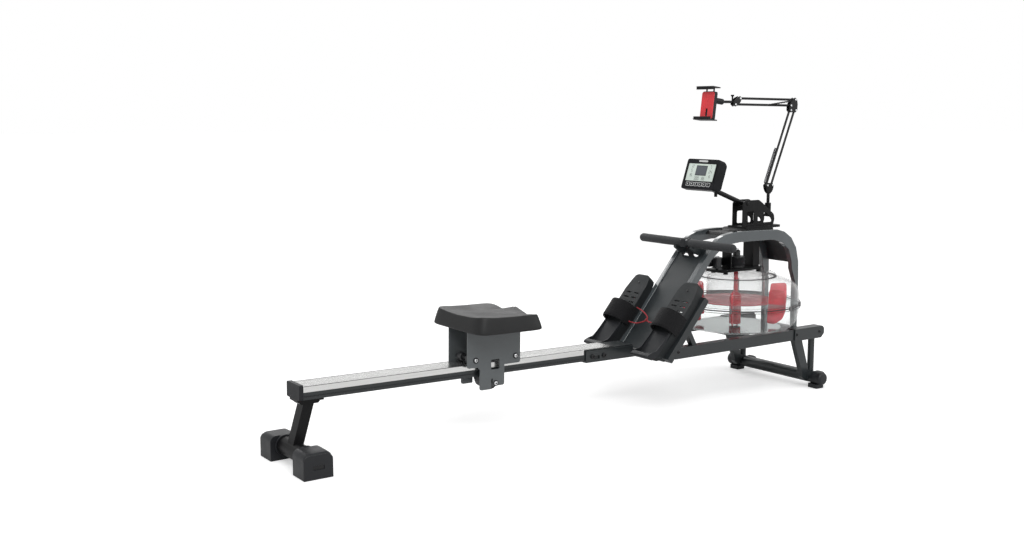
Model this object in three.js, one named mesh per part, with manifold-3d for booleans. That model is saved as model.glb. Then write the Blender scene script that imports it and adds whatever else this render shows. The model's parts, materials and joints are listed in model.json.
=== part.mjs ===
// Water rowing machine with a monorail seat, a clear tank, a console and a device arm.
// Millimetres. X runs forward from the rear foot to the tank, Y to the rower's left, Z up.
import * as THREE from "three";
import { mergeVertices } from "three/addons/utils/BufferGeometryUtils.js";
import Module from "manifold-3d";

const wasm = await Module();
wasm.setup();

// Clearances
const seatGap = 0.3;
const runGap = 0.6;
const overrun = 3;

// Main stations along the machine, from the axis of the rear foot bar
const railRear = -4;
const tankStation = 1800;
const frontBarStation = 2030;
const footAngleDegrees = 49.8;
const footAngle = THREE.MathUtils.degToRad(footAngleDegrees);

// Rail
const railRearHeight = 244;
const railFallDegrees = 0.66;
const railFall = THREE.MathUtils.degToRad(railFallDegrees);
const railLength = 1262;
const railWidth = 84;
const railDepth = 41;
const railWall = 3;
const trackWall = 2;
const trackLip = 18;
const trackLipLength = 1045;
const trackLength = 1169;
const endStop = { thickness: 14, rise: 5, overhang: 2, plug: 18, corner: 6 };

// Rear stand
const rearBar = { radius: 28, halfLength: 146, height: 46 };
const rearLeg = { depth: 34, width: 40, footShift: -6, headShift: 36, corner: 5 };
const rearBracket = { rear: 2, length: 84, width: 62, thickness: 7, stepRear: 14, stepLength: 56, stepDepth: 9 };
const rearKnob = { radius: 6, length: 15, inset: 9 };
const rearCap = { halfLength: 45.5, width: 77.6, sideHeight: 45, height: 85, end: 10, hood: 9, hoodWall: 5 };
const rearCapSlot = { rear: -22, length: 42, low: 18, height: 14, depth: 4, corner: 3 };

// Seat
const carriage = {
  station: 668, length: 203, plateGap: 107, wall: 3.5, top: 111, skirt: 8, corner: 7,
  tongueRear: -54, tongueLength: 94, tongueDrop: 84, prongGap: 7, prongRise: 34, fold: 9,
};
const carriageWindow = { rear: 5, length: 32, low: -21, height: 33, corner: 3 };
const topRoller = { radius: 15, rear: -70, front: 83, inner: 14, width: 24, axle: 5, crown: 2 };
const underRoller = { radius: 25, station: 6, width: 62, axle: 6, groove: 2.5 };
const pad = {
  station: 679, length: 246, halfWidth: 149, skirt: 50, flare: 10,
  saddle: 9, lobe: 12, tailLobe: 8, bottomDish: 3,
};
const padRings = 32;

// Lower frame and front stand
const beam = {
  inner: 160, width: 30, low: 190, height: 39, rear: 1322, front: 1918, strutTop: 262, strutDepth: 25,
  braceRear: 1376, braceTop: 284, braceFoot: 1408, braceWidth: 20, corner: 3,
};
const beamTail = { length: 58, side: 4, top: 5 };
const stand = {
  sleeveFront: 2078, sleeveSide: 5, sleeveRise: 3, chamfer: 16, post: 12.5, frontEdge: 10,
  braceTop: 1945, braceFoot: 1993, braceWide: 42, braceNarrow: 38, braceSide: 20, bar: 22, barHeight: 38,
  barHalf: 222, gussetRear: 1974, gussetLow: 28, gussetHigh: 64, tieBehind: 26, tieAhead: 6, tieDepth: 26,
};
const frontCap = { inner: 196.5, end: 20, wall: 2.5, round: 9, padInner: 181, padOuter: 226, padLength: 40, corner: 5 };
const wheel = { station: 2079, radius: 24, height: 28.5, inner: 164, width: 26, axle: 4, hub: 8, dish: 4, ear: 3.5, earHalf: 9 };
const crossTie = { rear: 1297, length: 40, depth: 20 };
const receiver = { rear: 1052, wall: 5, lip: 6, slotRear: 1086, slotLength: 26, slotDepth: 12 };

// Arches, board and fender
const boardRear = 1294;
const archSize = {
  low: 200, top: 600, inner: 65, width: 20, boardDepth: 29, topDepth: 40, legDepth: 18.6,
  headDepth: 38, shoulder: 200, innerShoulder: 118, knee: 38, headReach: 153, innerKnee: 55,
  innerReach: 140, legWaist: 392, legSwell: 442, footLow: 213,
};
const board = { low: 8, high: 462, sheet: 4, recess: 3, flange: 22, slotAt: 418, slotWidth: 82, slotLength: 13, rim: 5 };
const fender = { low: 465, wall: 2.5, inset: 4, bead: 25, beadWidth: 5 };

// Tank with its lid, baffle and impeller
const tank = {
  seam: 323, shoulder: 424, lidTop: 436, radius: 237, wall: 4, water: 331, legGap: 13,
  flange: 2, flangeDepth: 8, lid: 148, mouth: 130, baffle: 109, baffleLow: 345, bore: 9, lidEdge: 4,
};
const tankSides = 26;
const tankBottom = beam.low + beam.height + seatGap;
const cradle = { reach: 95, length: 28, depth: 14 };
const impeller = {
  low: 240, high: 386, span: 76, edgeGap: 17, hub: 22, hubTop: 352, shaft: 8, disc: 330, discThickness: 4,
  paddle: 5, phase: -78.8, count: 6, corner: 9,
};
const impellerOuter = tank.radius - tank.wall - impeller.edgeGap;
const impellerInner = impellerOuter - impeller.span;
const archFront = tankStation + tank.radius + tank.legGap;

// Drive above the lid: bridge, guide pulley, drum and the strap
const bridge = { rear: 1680, front: 1895, half: 45, low: 445, thickness: 9, corner: 14, foot: 9, footInset: 96 };
const bridgePost = { rear: 1862, front: 1895, half: 26, gusset: 40, gussetDepth: 34 };
const bridgeWeb = { rear: 1737, thickness: 5, right: 34, left: 12, top: 520 };
const drum = { spool: 27, flange: 31, low: 455, high: 497, rim: 4, hub: 14, hubTop: 520 };
const guide = { station: 1700, radius: 17, low: 458, high: 498, rim: 3, groove: 2.5, pin: 5 };
const strap = { width: 30, thickness: 1.8, endStation: 1798, height: 477, turnEnd: 1625, stepsPerSpan: 2 };
const handle = {
  x: 1541, z: 563, halfLength: 242, bar: 12, grip: 15.5, gripStart: 62, round: 6,
  blockRear: 19, blockFront: 22, blockLow: 17, blockHigh: 18, blockHalf: 22, blockCorner: 8,
};
const handleRest = { inner: 36, outer: 48, thickness: 8, reach: 16 };

// Footplates on the climb line, each with a heel slider and a moulded strap
const plate = {
  inner: 78, outer: 180, low: -30, high: 289, top: 32, wall: 4, lip: 10, toe: 22,
  corner: 14, slotInset: 16, slotLength: 28, slotWidth: 5, slotPitch: 20, slotStart: 162, slots: 3,
};
const heel = {
  inner: 86, outer: 174, tip: -51, tipHeight: 72, high: 74, base: 5, wall: 4, sideHeight: 12, corner: 6,
};
const footBand = { low: 77, width: 70, thickness: 3, height: 78, foot: 12, shoulder: 24 };
const cord = { radius: 2.2, knot: 6, standoff: 20 };

// Console on its tilting arm
const consoleBox = {
  width: 166, height: 114, depth: 40, lean: 18.4, x: 1587, z: 755, corner: 9, chamfer: 14,
  lcdWidth: 112, lcdHeight: 60, lcdLow: 34, lcdDepth: 1.5, lugGap: 18.8, lug: 4, lugRadius: 9,
};
const consoleButton = { count: 6, pitch: 21, width: 16, height: 10, middle: 19, proud: 1.5, depth: 5, pocket: 8, corner: 3 };
const consoleArm = { pivotX: 1826, pivotZ: 693, tipX: 1640, tipZ: 762, radius: 9, pin: 3.5, barrel: 7, knob: 6, knobReach: 22, knobShare: 0.76 };
const bracket = {
  rear: 1800, front: 1971, half: 27.5, wall: 4, base: 600.3, baseThickness: 9, baseRear: 1794, baseFront: 1984,
  baseHalf: 48, top: 706, coverRear: 1700, coverBehind: 125, coverThickness: 12, bossRadius: 12, bossLow: 640, bossTop: 690,
};

// Device arm: two parallelograms between a base, an elbow and a head
const deviceArm = {
  baseX: 1962, baseZ: 757, spacing: 27, bar: 4.5, pin: 2.5, fork: 5.2, plate: 3, eye: 8, post: 6, forkLow: 725,
  lowerRun: 117, lowerRise: 283, upperRun: -298, upperRise: 3, elbowRise: 18, upperStepX: 24, upperStepZ: 22,
  spacer: 3.5,
};
const lowerSpring = { radius: 4, wire: 1, offset: 10.6, curls: 12, startShare: 0.03, endShare: 0.47, lug: 1.8 };
const upperSpring = { radius: 3, wire: 0.9, side: 14, curls: 9, startShare: 0.46, endShare: 0.02, rise: 17, lug: 2.2 };
const plateShares = { nose: 1.6, spacer: 0.9, neck: 1.1 };
const armHead = { neck: 5, neckLength: 52, ball: 8, screw: 3, screwRise: 26, knob: 6 };
const clamp = {
  x: 1640, z: 1055, lean: 7, width: 62, height: 103, depth: 15, corner: 8, slotWidth: 10, slotHeight: 30, slotLow: 12,
  jawWidth: 85, jawReach: 30, jaw: 4, jawLip: 8, post: 3, postGap: 36, postDepth: 60, postRise: 12, socket: 11,
};

// Materials
const finishes = {
  powderCoat: { color: 0x2b2e30, roughness: 0.5, metalness: 0.1 },
  darkPlastic: { color: 0x1b1c1d, roughness: 0.6, metalness: 0 },
  rubber: { color: 0x141414, roughness: 0.85, metalness: 0 },
  steel: { color: 0xc9cac8, roughness: 0.25, metalness: 1 },
  padSkin: { color: 0x2a2b2c, roughness: 0.55, metalness: 0 },
  webbing: { color: 0x171717, roughness: 0.9, metalness: 0 },
  clearPlastic: { color: 0xe9efee, roughness: 0.08, metalness: 0 },
  water: { color: 0xcfe2e2, roughness: 0.05, metalness: 0 },
  redPlastic: { color: 0xc8202c, roughness: 0.35, metalness: 0 },
  redCord: { color: 0xa01828, roughness: 0.8, metalness: 0 },
  button: { color: 0x8d8f8c, roughness: 0.5, metalness: 0 },
};
const materials = Object.fromEntries(
  Object.entries(finishes).map(([name, finish]) => [name, new THREE.MeshStandardMaterial(finish)]),
);

// Solid helpers
function toSolid(geometry) {
  const bare = geometry.clone();
  bare.deleteAttribute("normal");
  bare.deleteAttribute("uv");
  const merged = mergeVertices(bare);
  return new wasm.Manifold(new wasm.Mesh({
    numProp: 3,
    vertProperties: Float32Array.from(merged.attributes.position.array),
    triVerts: Uint32Array.from(merged.index.array),
  }));
}

function toGeometry(body) {
  const mesh = body.getMesh();
  const geometry = new THREE.BufferGeometry();
  geometry.setAttribute("position", new THREE.BufferAttribute(mesh.vertProperties, mesh.numProp));
  geometry.setIndex(new THREE.BufferAttribute(mesh.triVerts, 1));
  geometry.computeVertexNormals();
  return geometry;
}

function join(...geometries) {
  return toGeometry(geometries.map(toSolid).reduce((body, next) => body.add(next)));
}

function cut(geometry, ...cutters) {
  return toGeometry(cutters.map(toSolid).reduce((body, next) => body.subtract(next), toSolid(geometry)));
}

function common(first, second) {
  return toGeometry(toSolid(first).intersect(toSolid(second)));
}

// Primitive helpers
function block(x0, x1, y0, y1, z0, z1) {
  const geometry = new THREE.BoxGeometry(x1 - x0, y1 - y0, z1 - z0);
  return geometry.translate((x0 + x1) / 2, (y0 + y1) / 2, (z0 + z1) / 2);
}

function point(x, y, z) {
  return new THREE.Vector3(x, y, z);
}

function rod(from, to, radius, sides = 20) {
  const span = new THREE.Vector3().subVectors(to, from);
  const geometry = new THREE.CylinderGeometry(radius, radius, span.length(), sides);
  const turn = new THREE.Quaternion().setFromUnitVectors(point(0, 1, 0), span.clone().normalize());
  geometry.applyQuaternion(turn);
  return geometry.translate(...new THREE.Vector3().addVectors(from, to).divideScalar(2).toArray());
}

function rodY(x, z, y0, y1, radius, sides = 20) {
  return rod(point(x, y0, z), point(x, y1, z), radius, sides);
}

function rodZ(x, y, z0, z1, radius, sides = 20) {
  return rod(point(x, y, z0), point(x, y, z1), radius, sides);
}

// A closed outline whose corners are rounded by their own radius, or by a common one
function outline(points, radius = 0) {
  const shape = new THREE.Shape();
  points.forEach(([x, y, own], index) => {
    const before = points[(index + points.length - 1) % points.length];
    const after = points[(index + 1) % points.length];
    const corner = new THREE.Vector2(x, y);
    const back = new THREE.Vector2(before[0], before[1]).sub(corner);
    const ahead = new THREE.Vector2(after[0], after[1]).sub(corner);
    const reach = Math.min(own ?? radius, back.length() / 2, ahead.length() / 2);
    const start = corner.clone().addScaledVector(back.normalize(), reach);
    const end = corner.clone().addScaledVector(ahead.normalize(), reach);
    if (index === 0) shape.moveTo(start.x, start.y);
    else shape.lineTo(start.x, start.y);
    if (reach > 0) shape.quadraticCurveTo(corner.x, corner.y, end.x, end.y);
  });
  shape.closePath();
  return shape;
}

function rectangle(x, y, width, height, radius = 0) {
  return outline([[x, y], [x + width, y], [x + width, y + height], [x, y + height]], radius);
}

// A round outline of flat sides that all lie a radius from its middle
function disc(x, y, radius, sides = 12) {
  const reach = radius / Math.cos(Math.PI / sides);
  return new THREE.Shape(Array.from({ length: sides }, (_, index) => {
    const angle = ((index + 0.5) / sides) * Math.PI * 2;
    return new THREE.Vector2(x + Math.cos(angle) * reach, y + Math.sin(angle) * reach);
  }));
}

function withHoles(shape, ...holes) {
  shape.holes.push(...holes);
  return shape;
}

function slab(shape, depth, segments = 3) {
  return new THREE.ExtrudeGeometry(shape, { depth, bevelEnabled: false, curveSegments: segments });
}

function extrudeZ(shape, z0, z1, segments) {
  return slab(shape, z1 - z0, segments).translate(0, 0, z0);
}

function extrudeY(shape, y0, y1, segments) {
  return slab(shape, y1 - y0, segments).rotateX(Math.PI / 2).translate(0, y1, 0);
}

function extrudeX(shape, x0, x1, segments) {
  const axes = new THREE.Matrix4().makeBasis(point(0, 1, 0), point(0, 0, 1), point(1, 0, 0));
  return slab(shape, x1 - x0, segments).applyMatrix4(axes).translate(x0, 0, 0);
}

function turned(profile, sides) {
  return new THREE.LatheGeometry(profile.map(([r, z]) => new THREE.Vector2(r, z)), sides).rotateX(Math.PI / 2);
}

function mirrored(geometry) {
  const copy = toGeometry(toSolid(geometry));
  const places = copy.attributes.position;
  const index = copy.index.array;
  for (let i = 0; i < places.count; i += 1) places.setY(i, -places.getY(i));
  for (let i = 0; i < index.length; i += 3) [index[i], index[i + 1]] = [index[i + 1], index[i]];
  copy.computeVertexNormals();
  return copy;
}

// A bent tube: straight runs joined by curves that start a bend length before each corner
function bentTube(points, radius, bend, sides, steps) {
  const path = new THREE.CurvePath();
  let start = points[0];
  points.slice(1, -1).forEach((corner, index) => {
    const next = points[index + 2];
    const enter = corner.clone().addScaledVector(start.clone().sub(corner).normalize(), bend);
    const leave = corner.clone().addScaledVector(next.clone().sub(corner).normalize(), bend);
    path.add(new THREE.LineCurve3(start, enter));
    path.add(new THREE.QuadraticBezierCurve3(enter, corner, leave));
    start = leave;
  });
  path.add(new THREE.LineCurve3(start, points[points.length - 1]));
  const section = new THREE.Shape(Array.from({ length: sides }, (_, index) => {
    const angle = (index / sides) * Math.PI * 2;
    return new THREE.Vector2(Math.cos(angle) * radius, Math.sin(angle) * radius);
  }));
  return new THREE.ExtrudeGeometry(section, { steps, extrudePath: path, bevelEnabled: false });
}

// Groups: the rail group leans with the rail, its X along the rail and its Z zero on the rail's top
const machine = new THREE.Group();
const rail = new THREE.Group();
rail.position.set(railRear, 0, railRearHeight);
rail.rotation.y = railFall;
machine.add(rail);
rail.updateMatrix();

function addMesh(parent, name, geometry, material) {
  const mesh = new THREE.Mesh(geometry, material);
  mesh.name = name;
  parent.add(mesh);
  return mesh;
}

function onRail(geometry) {
  return geometry.applyMatrix4(rail.matrix);
}

// Rear stand: foot bar, leaning box leg and stepped bracket under the rail
function rearStandGeometry() {
  const half = rearLeg.width / 2;
  const bar = rodY(0, rearBar.height, -rearBar.halfLength, rearBar.halfLength, rearBar.radius, 16);
  const plateTop = -railDepth - seatGap;
  const plateLow = plateTop - rearBracket.thickness;
  const stepEnd = rearBracket.stepRear + rearBracket.stepLength;
  const bracketHalf = rearBracket.width / 2;
  const plate = onRail(extrudeZ(
    rectangle(rearBracket.rear, -bracketHalf, rearBracket.length, rearBracket.width, rearLeg.corner),
    plateLow, plateTop,
  ));
  const step = onRail(extrudeY(outline([
    [rearBracket.stepRear, plateLow - rearBracket.stepDepth], [stepEnd, plateLow - rearBracket.stepDepth],
    [stepEnd + rearBracket.stepDepth, plateLow + overrun / 2],
    [rearBracket.stepRear - rearBracket.stepDepth, plateLow + overrun / 2],
  ]), -half - rearBracket.thickness / 2, half + rearBracket.thickness / 2));
  const headHeight = railRearHeight - railDepth - rearBracket.thickness - rearBracket.stepDepth;
  const leg = extrudeY(outline([
    [rearLeg.footShift - rearLeg.depth / 2, rearBar.height], [rearLeg.footShift + rearLeg.depth / 2, rearBar.height],
    [rearLeg.headShift + rearLeg.depth / 2, headHeight], [rearLeg.headShift - rearLeg.depth / 2, headHeight],
  ]), -half, half);
  const knobX = rearLeg.headShift + rearLeg.depth / 2 + rearKnob.inset;
  const knobTop = headHeight + rearBracket.stepDepth;
  const knob = rodZ(knobX, 0, knobTop - rearKnob.length, knobTop + overrun, rearKnob.radius, 12);
  return join(bar, leg, step, plate, knob);
}

function rearCapGeometry() {
  const inner = rearBar.halfLength - (rearCap.width - rearCap.end);
  const outer = rearBar.halfLength + rearCap.end;
  const dome = new THREE.Shape();
  dome.moveTo(-rearCap.halfLength, 0);
  dome.lineTo(rearCap.halfLength, 0);
  dome.lineTo(rearCap.halfLength, rearCap.sideHeight);
  dome.absellipse(0, rearCap.sideHeight, rearCap.halfLength, rearCap.height - rearCap.sideHeight, 0, Math.PI, false, 0);
  dome.closePath();
  const shell = extrudeY(dome, inner, outer, 10);
  const hood = rodY(0, rearBar.height, inner - rearCap.hood, inner + overrun, rearBar.radius + rearCap.hoodWall, 16);
  const bore = rodY(
    0, rearBar.height, inner - rearCap.hood - overrun, rearBar.halfLength + seatGap, rearBar.radius + seatGap, 16,
  );
  const slot = extrudeY(
    rectangle(rearCapSlot.rear, rearCapSlot.low, rearCapSlot.length, rearCapSlot.height, rearCapSlot.corner),
    outer - rearCapSlot.depth, outer + overrun,
  );
  return cut(join(shell, hood), bore, slot);
}

// Rail: a hollow box under a folded steel track, closed by a stop with a raised rim
function railBeamGeometry() {
  const half = railWidth / 2 - trackWall - seatGap;
  const top = -trackWall - seatGap;
  const section = withHoles(
    rectangle(-half, -railDepth, half * 2, railDepth + top, railWall / 2),
    rectangle(-half + railWall, -railDepth + railWall, (half - railWall) * 2, railDepth + top - railWall * 2),
  );
  return extrudeX(section, endStop.thickness + seatGap, railLength);
}

function railTrackGeometry() {
  const half = railWidth / 2;
  const wall = trackWall;
  const channel = outline([
    [-half, -trackLip], [-half + wall, -trackLip], [-half + wall, -wall], [half - wall, -wall],
    [half - wall, -trackLip], [half, -trackLip], [half, 0, wall], [-half, 0, wall],
  ]);
  const start = endStop.thickness + seatGap;
  const strip = block(trackLipLength - overrun, trackLength, -half + wall, half - wall, -wall, 0);
  return join(extrudeX(channel, start, trackLipLength), strip);
}

function railStopGeometry() {
  const half = railWidth / 2 + endStop.overhang;
  const low = -railDepth;
  const plate = extrudeX(
    rectangle(-half, low, half * 2, endStop.rise - low, endStop.corner), 0, endStop.thickness,
  );
  const inner = railWidth / 2 - trackWall - seatGap * 2 - railWall;
  const plugLow = -railDepth + railWall + seatGap;
  const plugTop = -trackWall - railWall - seatGap * 2;
  const plug = block(endStop.thickness - overrun, endStop.thickness + endStop.plug, -inner, inner, plugLow, plugTop);
  return join(plate, plug);
}

addMesh(machine, "rear_stand", rearStandGeometry(), materials.powderCoat);
addMesh(machine, "rear_cap_left", rearCapGeometry(), materials.rubber);
addMesh(machine, "rear_cap_right", mirrored(rearCapGeometry()), materials.rubber);
addMesh(rail, "rail_beam", railBeamGeometry(), materials.powderCoat);
addMesh(rail, "rail_track", railTrackGeometry(), materials.steel);
addMesh(rail, "rail_end_stop", railStopGeometry(), materials.darkPlastic);

// Seat carriage: a folded bracket with windowed tongues that hold a roller under the rail
function carriageGeometry() {
  const rear = carriage.station - carriage.length / 2;
  const front = rear + carriage.length;
  const low = -carriage.skirt;
  const tongueRear = carriage.station + carriage.tongueRear;
  const tongueFront = tongueRear + carriage.tongueLength;
  const tongueLow = -carriage.tongueDrop;
  const prong = tongueRear + (carriage.tongueLength - carriage.prongGap) / 2;
  const window = rectangle(
    carriage.station + carriageWindow.rear - carriageWindow.length / 2, carriageWindow.low,
    carriageWindow.length, carriageWindow.height, carriageWindow.corner,
  );
  const axles = [
    [topRoller.rear, topRoller.radius + seatGap, topRoller.axle],
    [topRoller.front, topRoller.radius + seatGap, topRoller.axle],
    [underRoller.station, -railDepth - underRoller.radius - seatGap, underRoller.axle],
  ].map(([shift, height, radius]) => disc(carriage.station + shift, height, radius + seatGap));
  const side = withHoles(outline([
    [rear, carriage.top], [rear, low, carriage.corner], [tongueRear - carriage.fold, low],
    [tongueRear, low - carriage.fold], [tongueRear, tongueLow, carriage.corner],
    [prong, tongueLow, carriage.corner / 2], [prong, tongueLow + carriage.prongRise, carriage.prongGap / 3],
    [prong + carriage.prongGap, tongueLow + carriage.prongRise, carriage.prongGap / 3],
    [prong + carriage.prongGap, tongueLow + carriage.fold, carriage.corner / 2],
    [tongueFront, tongueLow + carriage.fold, carriage.corner], [tongueFront, low],
    [front, low, carriage.corner], [front, carriage.top],
  ]), window, ...axles);
  const half = carriage.plateGap / 2;
  const plate = extrudeY(side, half, half + carriage.wall, 2);
  const deck = block(rear, front, -half - overrun / 2, half + overrun / 2, carriage.top - carriage.wall, carriage.top);
  return join(deck, plate, mirrored(plate));
}

function rollerPairGeometry() {
  const profile = [
    [0, -topRoller.width / 2], [topRoller.radius - topRoller.crown, -topRoller.width / 2],
    [topRoller.radius, -topRoller.width / 2 + topRoller.crown], [topRoller.radius, topRoller.width / 2 - topRoller.crown],
    [topRoller.radius - topRoller.crown, topRoller.width / 2], [0, topRoller.width / 2],
  ];
  const centre = topRoller.inner + topRoller.width / 2;
  const wheels = [-centre, centre].map((y) => turned(profile, 12).rotateX(Math.PI / 2).translate(0, y, 0));
  const reach = carriage.plateGap / 2 + carriage.wall + overrun;
  return join(...wheels, rodY(0, 0, -reach, reach, topRoller.axle, 8));
}

function underRollerGeometry() {
  const half = underRoller.width / 2;
  const profile = [
    [0, -half], [underRoller.radius, -half], [underRoller.radius, -half / 2],
    [underRoller.radius - underRoller.groove, -half / 3], [underRoller.radius - underRoller.groove, half / 3],
    [underRoller.radius, half / 2], [underRoller.radius, half], [0, half],
  ];
  const reach = carriage.plateGap / 2 + carriage.wall + overrun;
  return join(turned(profile, 14).rotateX(Math.PI / 2), rodY(0, 0, -reach, reach, underRoller.axle, 8));
}

// Seat pad: a flared skirt under a saddle-shaped top with a raised back and two thigh lobes
function padGeometry() {
  const positions = [];
  const indices = [];
  const exponentShare = 0.36;
  const crestShare = 1.03;
  const contour = (angle, growth) => {
    const c = Math.cos(angle);
    const s = Math.sin(angle);
    const x = Math.sign(c) * Math.abs(c) ** exponentShare * (pad.length / 2 + growth);
    const y = Math.sign(s) * Math.abs(s) ** exponentShare * (pad.halfWidth + growth);
    return [x, y];
  };
  const crown = (x, y) => {
    const along = x / (pad.length / 2);
    const across = y / pad.halfWidth;
    const back = pad.tailLobe * Math.max(0, -along) ** 2;
    const wings = pad.saddle * across ** 2;
    const middle = pad.lobe * Math.exp(-((across / middleShare) ** 2)) * Math.max(0, along + frontShare);
    return back + wings + middle - pad.saddle;
  };
  const middleShare = 0.22;
  const frontShare = 0.15;
  const addRing = (shrinkShare, growth, height) => {
    for (let i = 0; i < padRings; i += 1) {
      const [x, y] = contour((i / padRings) * Math.PI * 2, growth);
      positions.push(x * shrinkShare, y * shrinkShare, height(x * shrinkShare, y * shrinkShare));
    }
  };
  const rim = pad.skirt;
  const skirtShares = [[1, 0, 0], [1, -pad.flare * 0.1, 0.35], [1, -pad.flare * 0.5, 0.75]];
  skirtShares.forEach(([shrink, growth, rise]) => addRing(shrink, growth, (x, y) => (rim + crown(x, y)) * rise));
  const shoulderShares = [[1, 1, 0.92], [0.985, 1, 1], [0.955, 1, 1.03]];
  shoulderShares.forEach(([shrink, growth, rise]) => {
    addRing(shrink, -pad.flare * growth, (x, y) => (rim + crown(x, y)) * rise);
  });
  const innerShares = [0.86, 0.74, 0.6, 0.45, 0.3, 0.15];
  innerShares.forEach((shrink) => addRing(shrink, -pad.flare, (x, y) => rim + crown(x, y) * crestShare + pad.bottomDish));
  const ringTotal = skirtShares.length + shoulderShares.length + innerShares.length;
  for (let ring = 0; ring + 1 < ringTotal; ring += 1) {
    for (let i = 0; i < padRings; i += 1) {
      const a = ring * padRings + i;
      const b = ring * padRings + ((i + 1) % padRings);
      indices.push(a, b, a + padRings, b, b + padRings, a + padRings);
    }
  }
  const bottom = positions.length / 3;
  positions.push(0, 0, 0);
  const top = bottom + 1;
  positions.push(0, 0, rim + crown(0, 0) * crestShare + pad.bottomDish);
  const last = (ringTotal - 1) * padRings;
  for (let i = 0; i < padRings; i += 1) {
    const next = (i + 1) % padRings;
    indices.push(bottom, next, i, top, last + i, last + next);
  }
  const geometry = new THREE.BufferGeometry();
  geometry.setAttribute("position", new THREE.Float32BufferAttribute(positions, 3));
  geometry.setIndex(indices);
  geometry.computeVertexNormals();
  return geometry;
}

const rollerHeight = topRoller.radius + seatGap;
addMesh(rail, "seat_carriage", carriageGeometry(), materials.powderCoat);
addMesh(rail, "roller_set_rear", rollerPairGeometry(), materials.darkPlastic)
  .position.set(carriage.station + topRoller.rear, 0, rollerHeight);
addMesh(rail, "roller_set_front", rollerPairGeometry(), materials.darkPlastic)
  .position.set(carriage.station + topRoller.front, 0, rollerHeight);
addMesh(rail, "lower_roller", underRollerGeometry(), materials.darkPlastic)
  .position.set(carriage.station + underRoller.station, 0, -railDepth - underRoller.radius - seatGap);
addMesh(rail, "seat_pad", padGeometry(), materials.padSkin).position.set(pad.station, 0, carriage.top + seatGap);

// The climb group leans with the foot board: X climbs it, Z stands off it
const climb = new THREE.Group();
climb.position.set(boardRear, 0, archSize.low);
climb.rotation.y = -footAngle;
machine.add(climb);
climb.updateMatrix();

function onClimb(geometry) {
  return geometry.applyMatrix4(climb.matrix);
}

// A copy of an open line of points, moved to its right by a distance
function besideLine(points, distance) {
  return points.map(([x, z], index) => {
    const [ax, az] = points[Math.max(index - 1, 0)];
    const [bx, bz] = points[Math.min(index + 1, points.length - 1)];
    const length = Math.hypot(bx - ax, bz - az);
    return [x + ((bz - az) / length) * distance, z - ((bx - ax) / length) * distance];
  });
}

// Receiver: a saddle round the front of the rail, and the tie across the two beams
function receiverGeometry() {
  const half = railWidth / 2 - trackWall;
  const low = -railDepth - seatGap - receiver.wall;
  const end = railLength;
  const section = outline([
    [-half - receiver.wall, low], [half + receiver.wall, low], [half + receiver.wall, -receiver.lip],
    [half, -receiver.lip], [half, low + receiver.wall], [-half, low + receiver.wall],
    [-half, -receiver.lip], [-half - receiver.wall, -receiver.lip],
  ]);
  const saddle = onRail(extrudeX(section, receiver.rear, end));
  const slot = onRail(block(
    receiver.slotRear, receiver.slotRear + receiver.slotLength, -half - receiver.wall - overrun,
    half + receiver.wall + overrun, low + receiver.wall * 2, low + receiver.wall * 2 + receiver.slotDepth,
  ));
  const floor = onRail(block(
    end - overrun, crossTie.rear - railRear + overrun * 2, -half - receiver.wall, half + receiver.wall, low,
    low + receiver.wall,
  ));
  const top = archSize.low - seatGap;
  const reach = beam.inner - seatGap;
  const tie = block(crossTie.rear, crossTie.rear + crossTie.length, -reach, reach, top - crossTie.depth, top);
  return cut(join(saddle, floor, tie), slot);
}

// Lower beam with its rear strut, a short brace and a tail that enters the front sleeve
function beamGeometry() {
  const outer = beam.inner + beam.width;
  const top = beam.low + beam.height;
  const bar = extrudeY(
    rectangle(beam.rear, beam.low, beam.front - seatGap - beam.rear, beam.height, beam.corner), beam.inner, outer, 2,
  );
  const strut = onClimb(extrudeY(
    rectangle(-beam.strutDepth / 3, -beam.strutDepth, beam.strutTop, beam.strutDepth, beam.corner), beam.inner, outer, 2,
  ));
  const brace = extrudeY(outline([
    [beam.braceRear, beam.braceTop], [beam.braceRear + beam.braceWidth, beam.braceTop],
    [beam.braceFoot + beam.braceWidth, top - beam.corner], [beam.braceFoot, top - beam.corner],
  ]), beam.inner + beam.corner, outer - beam.corner);
  const tail = block(
    beam.front - overrun, beam.front + beamTail.length, beam.inner + beamTail.side, outer - beamTail.side,
    beam.low + beamTail.top, top - beamTail.top,
  );
  return join(bar, strut, brace, tail);
}

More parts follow.
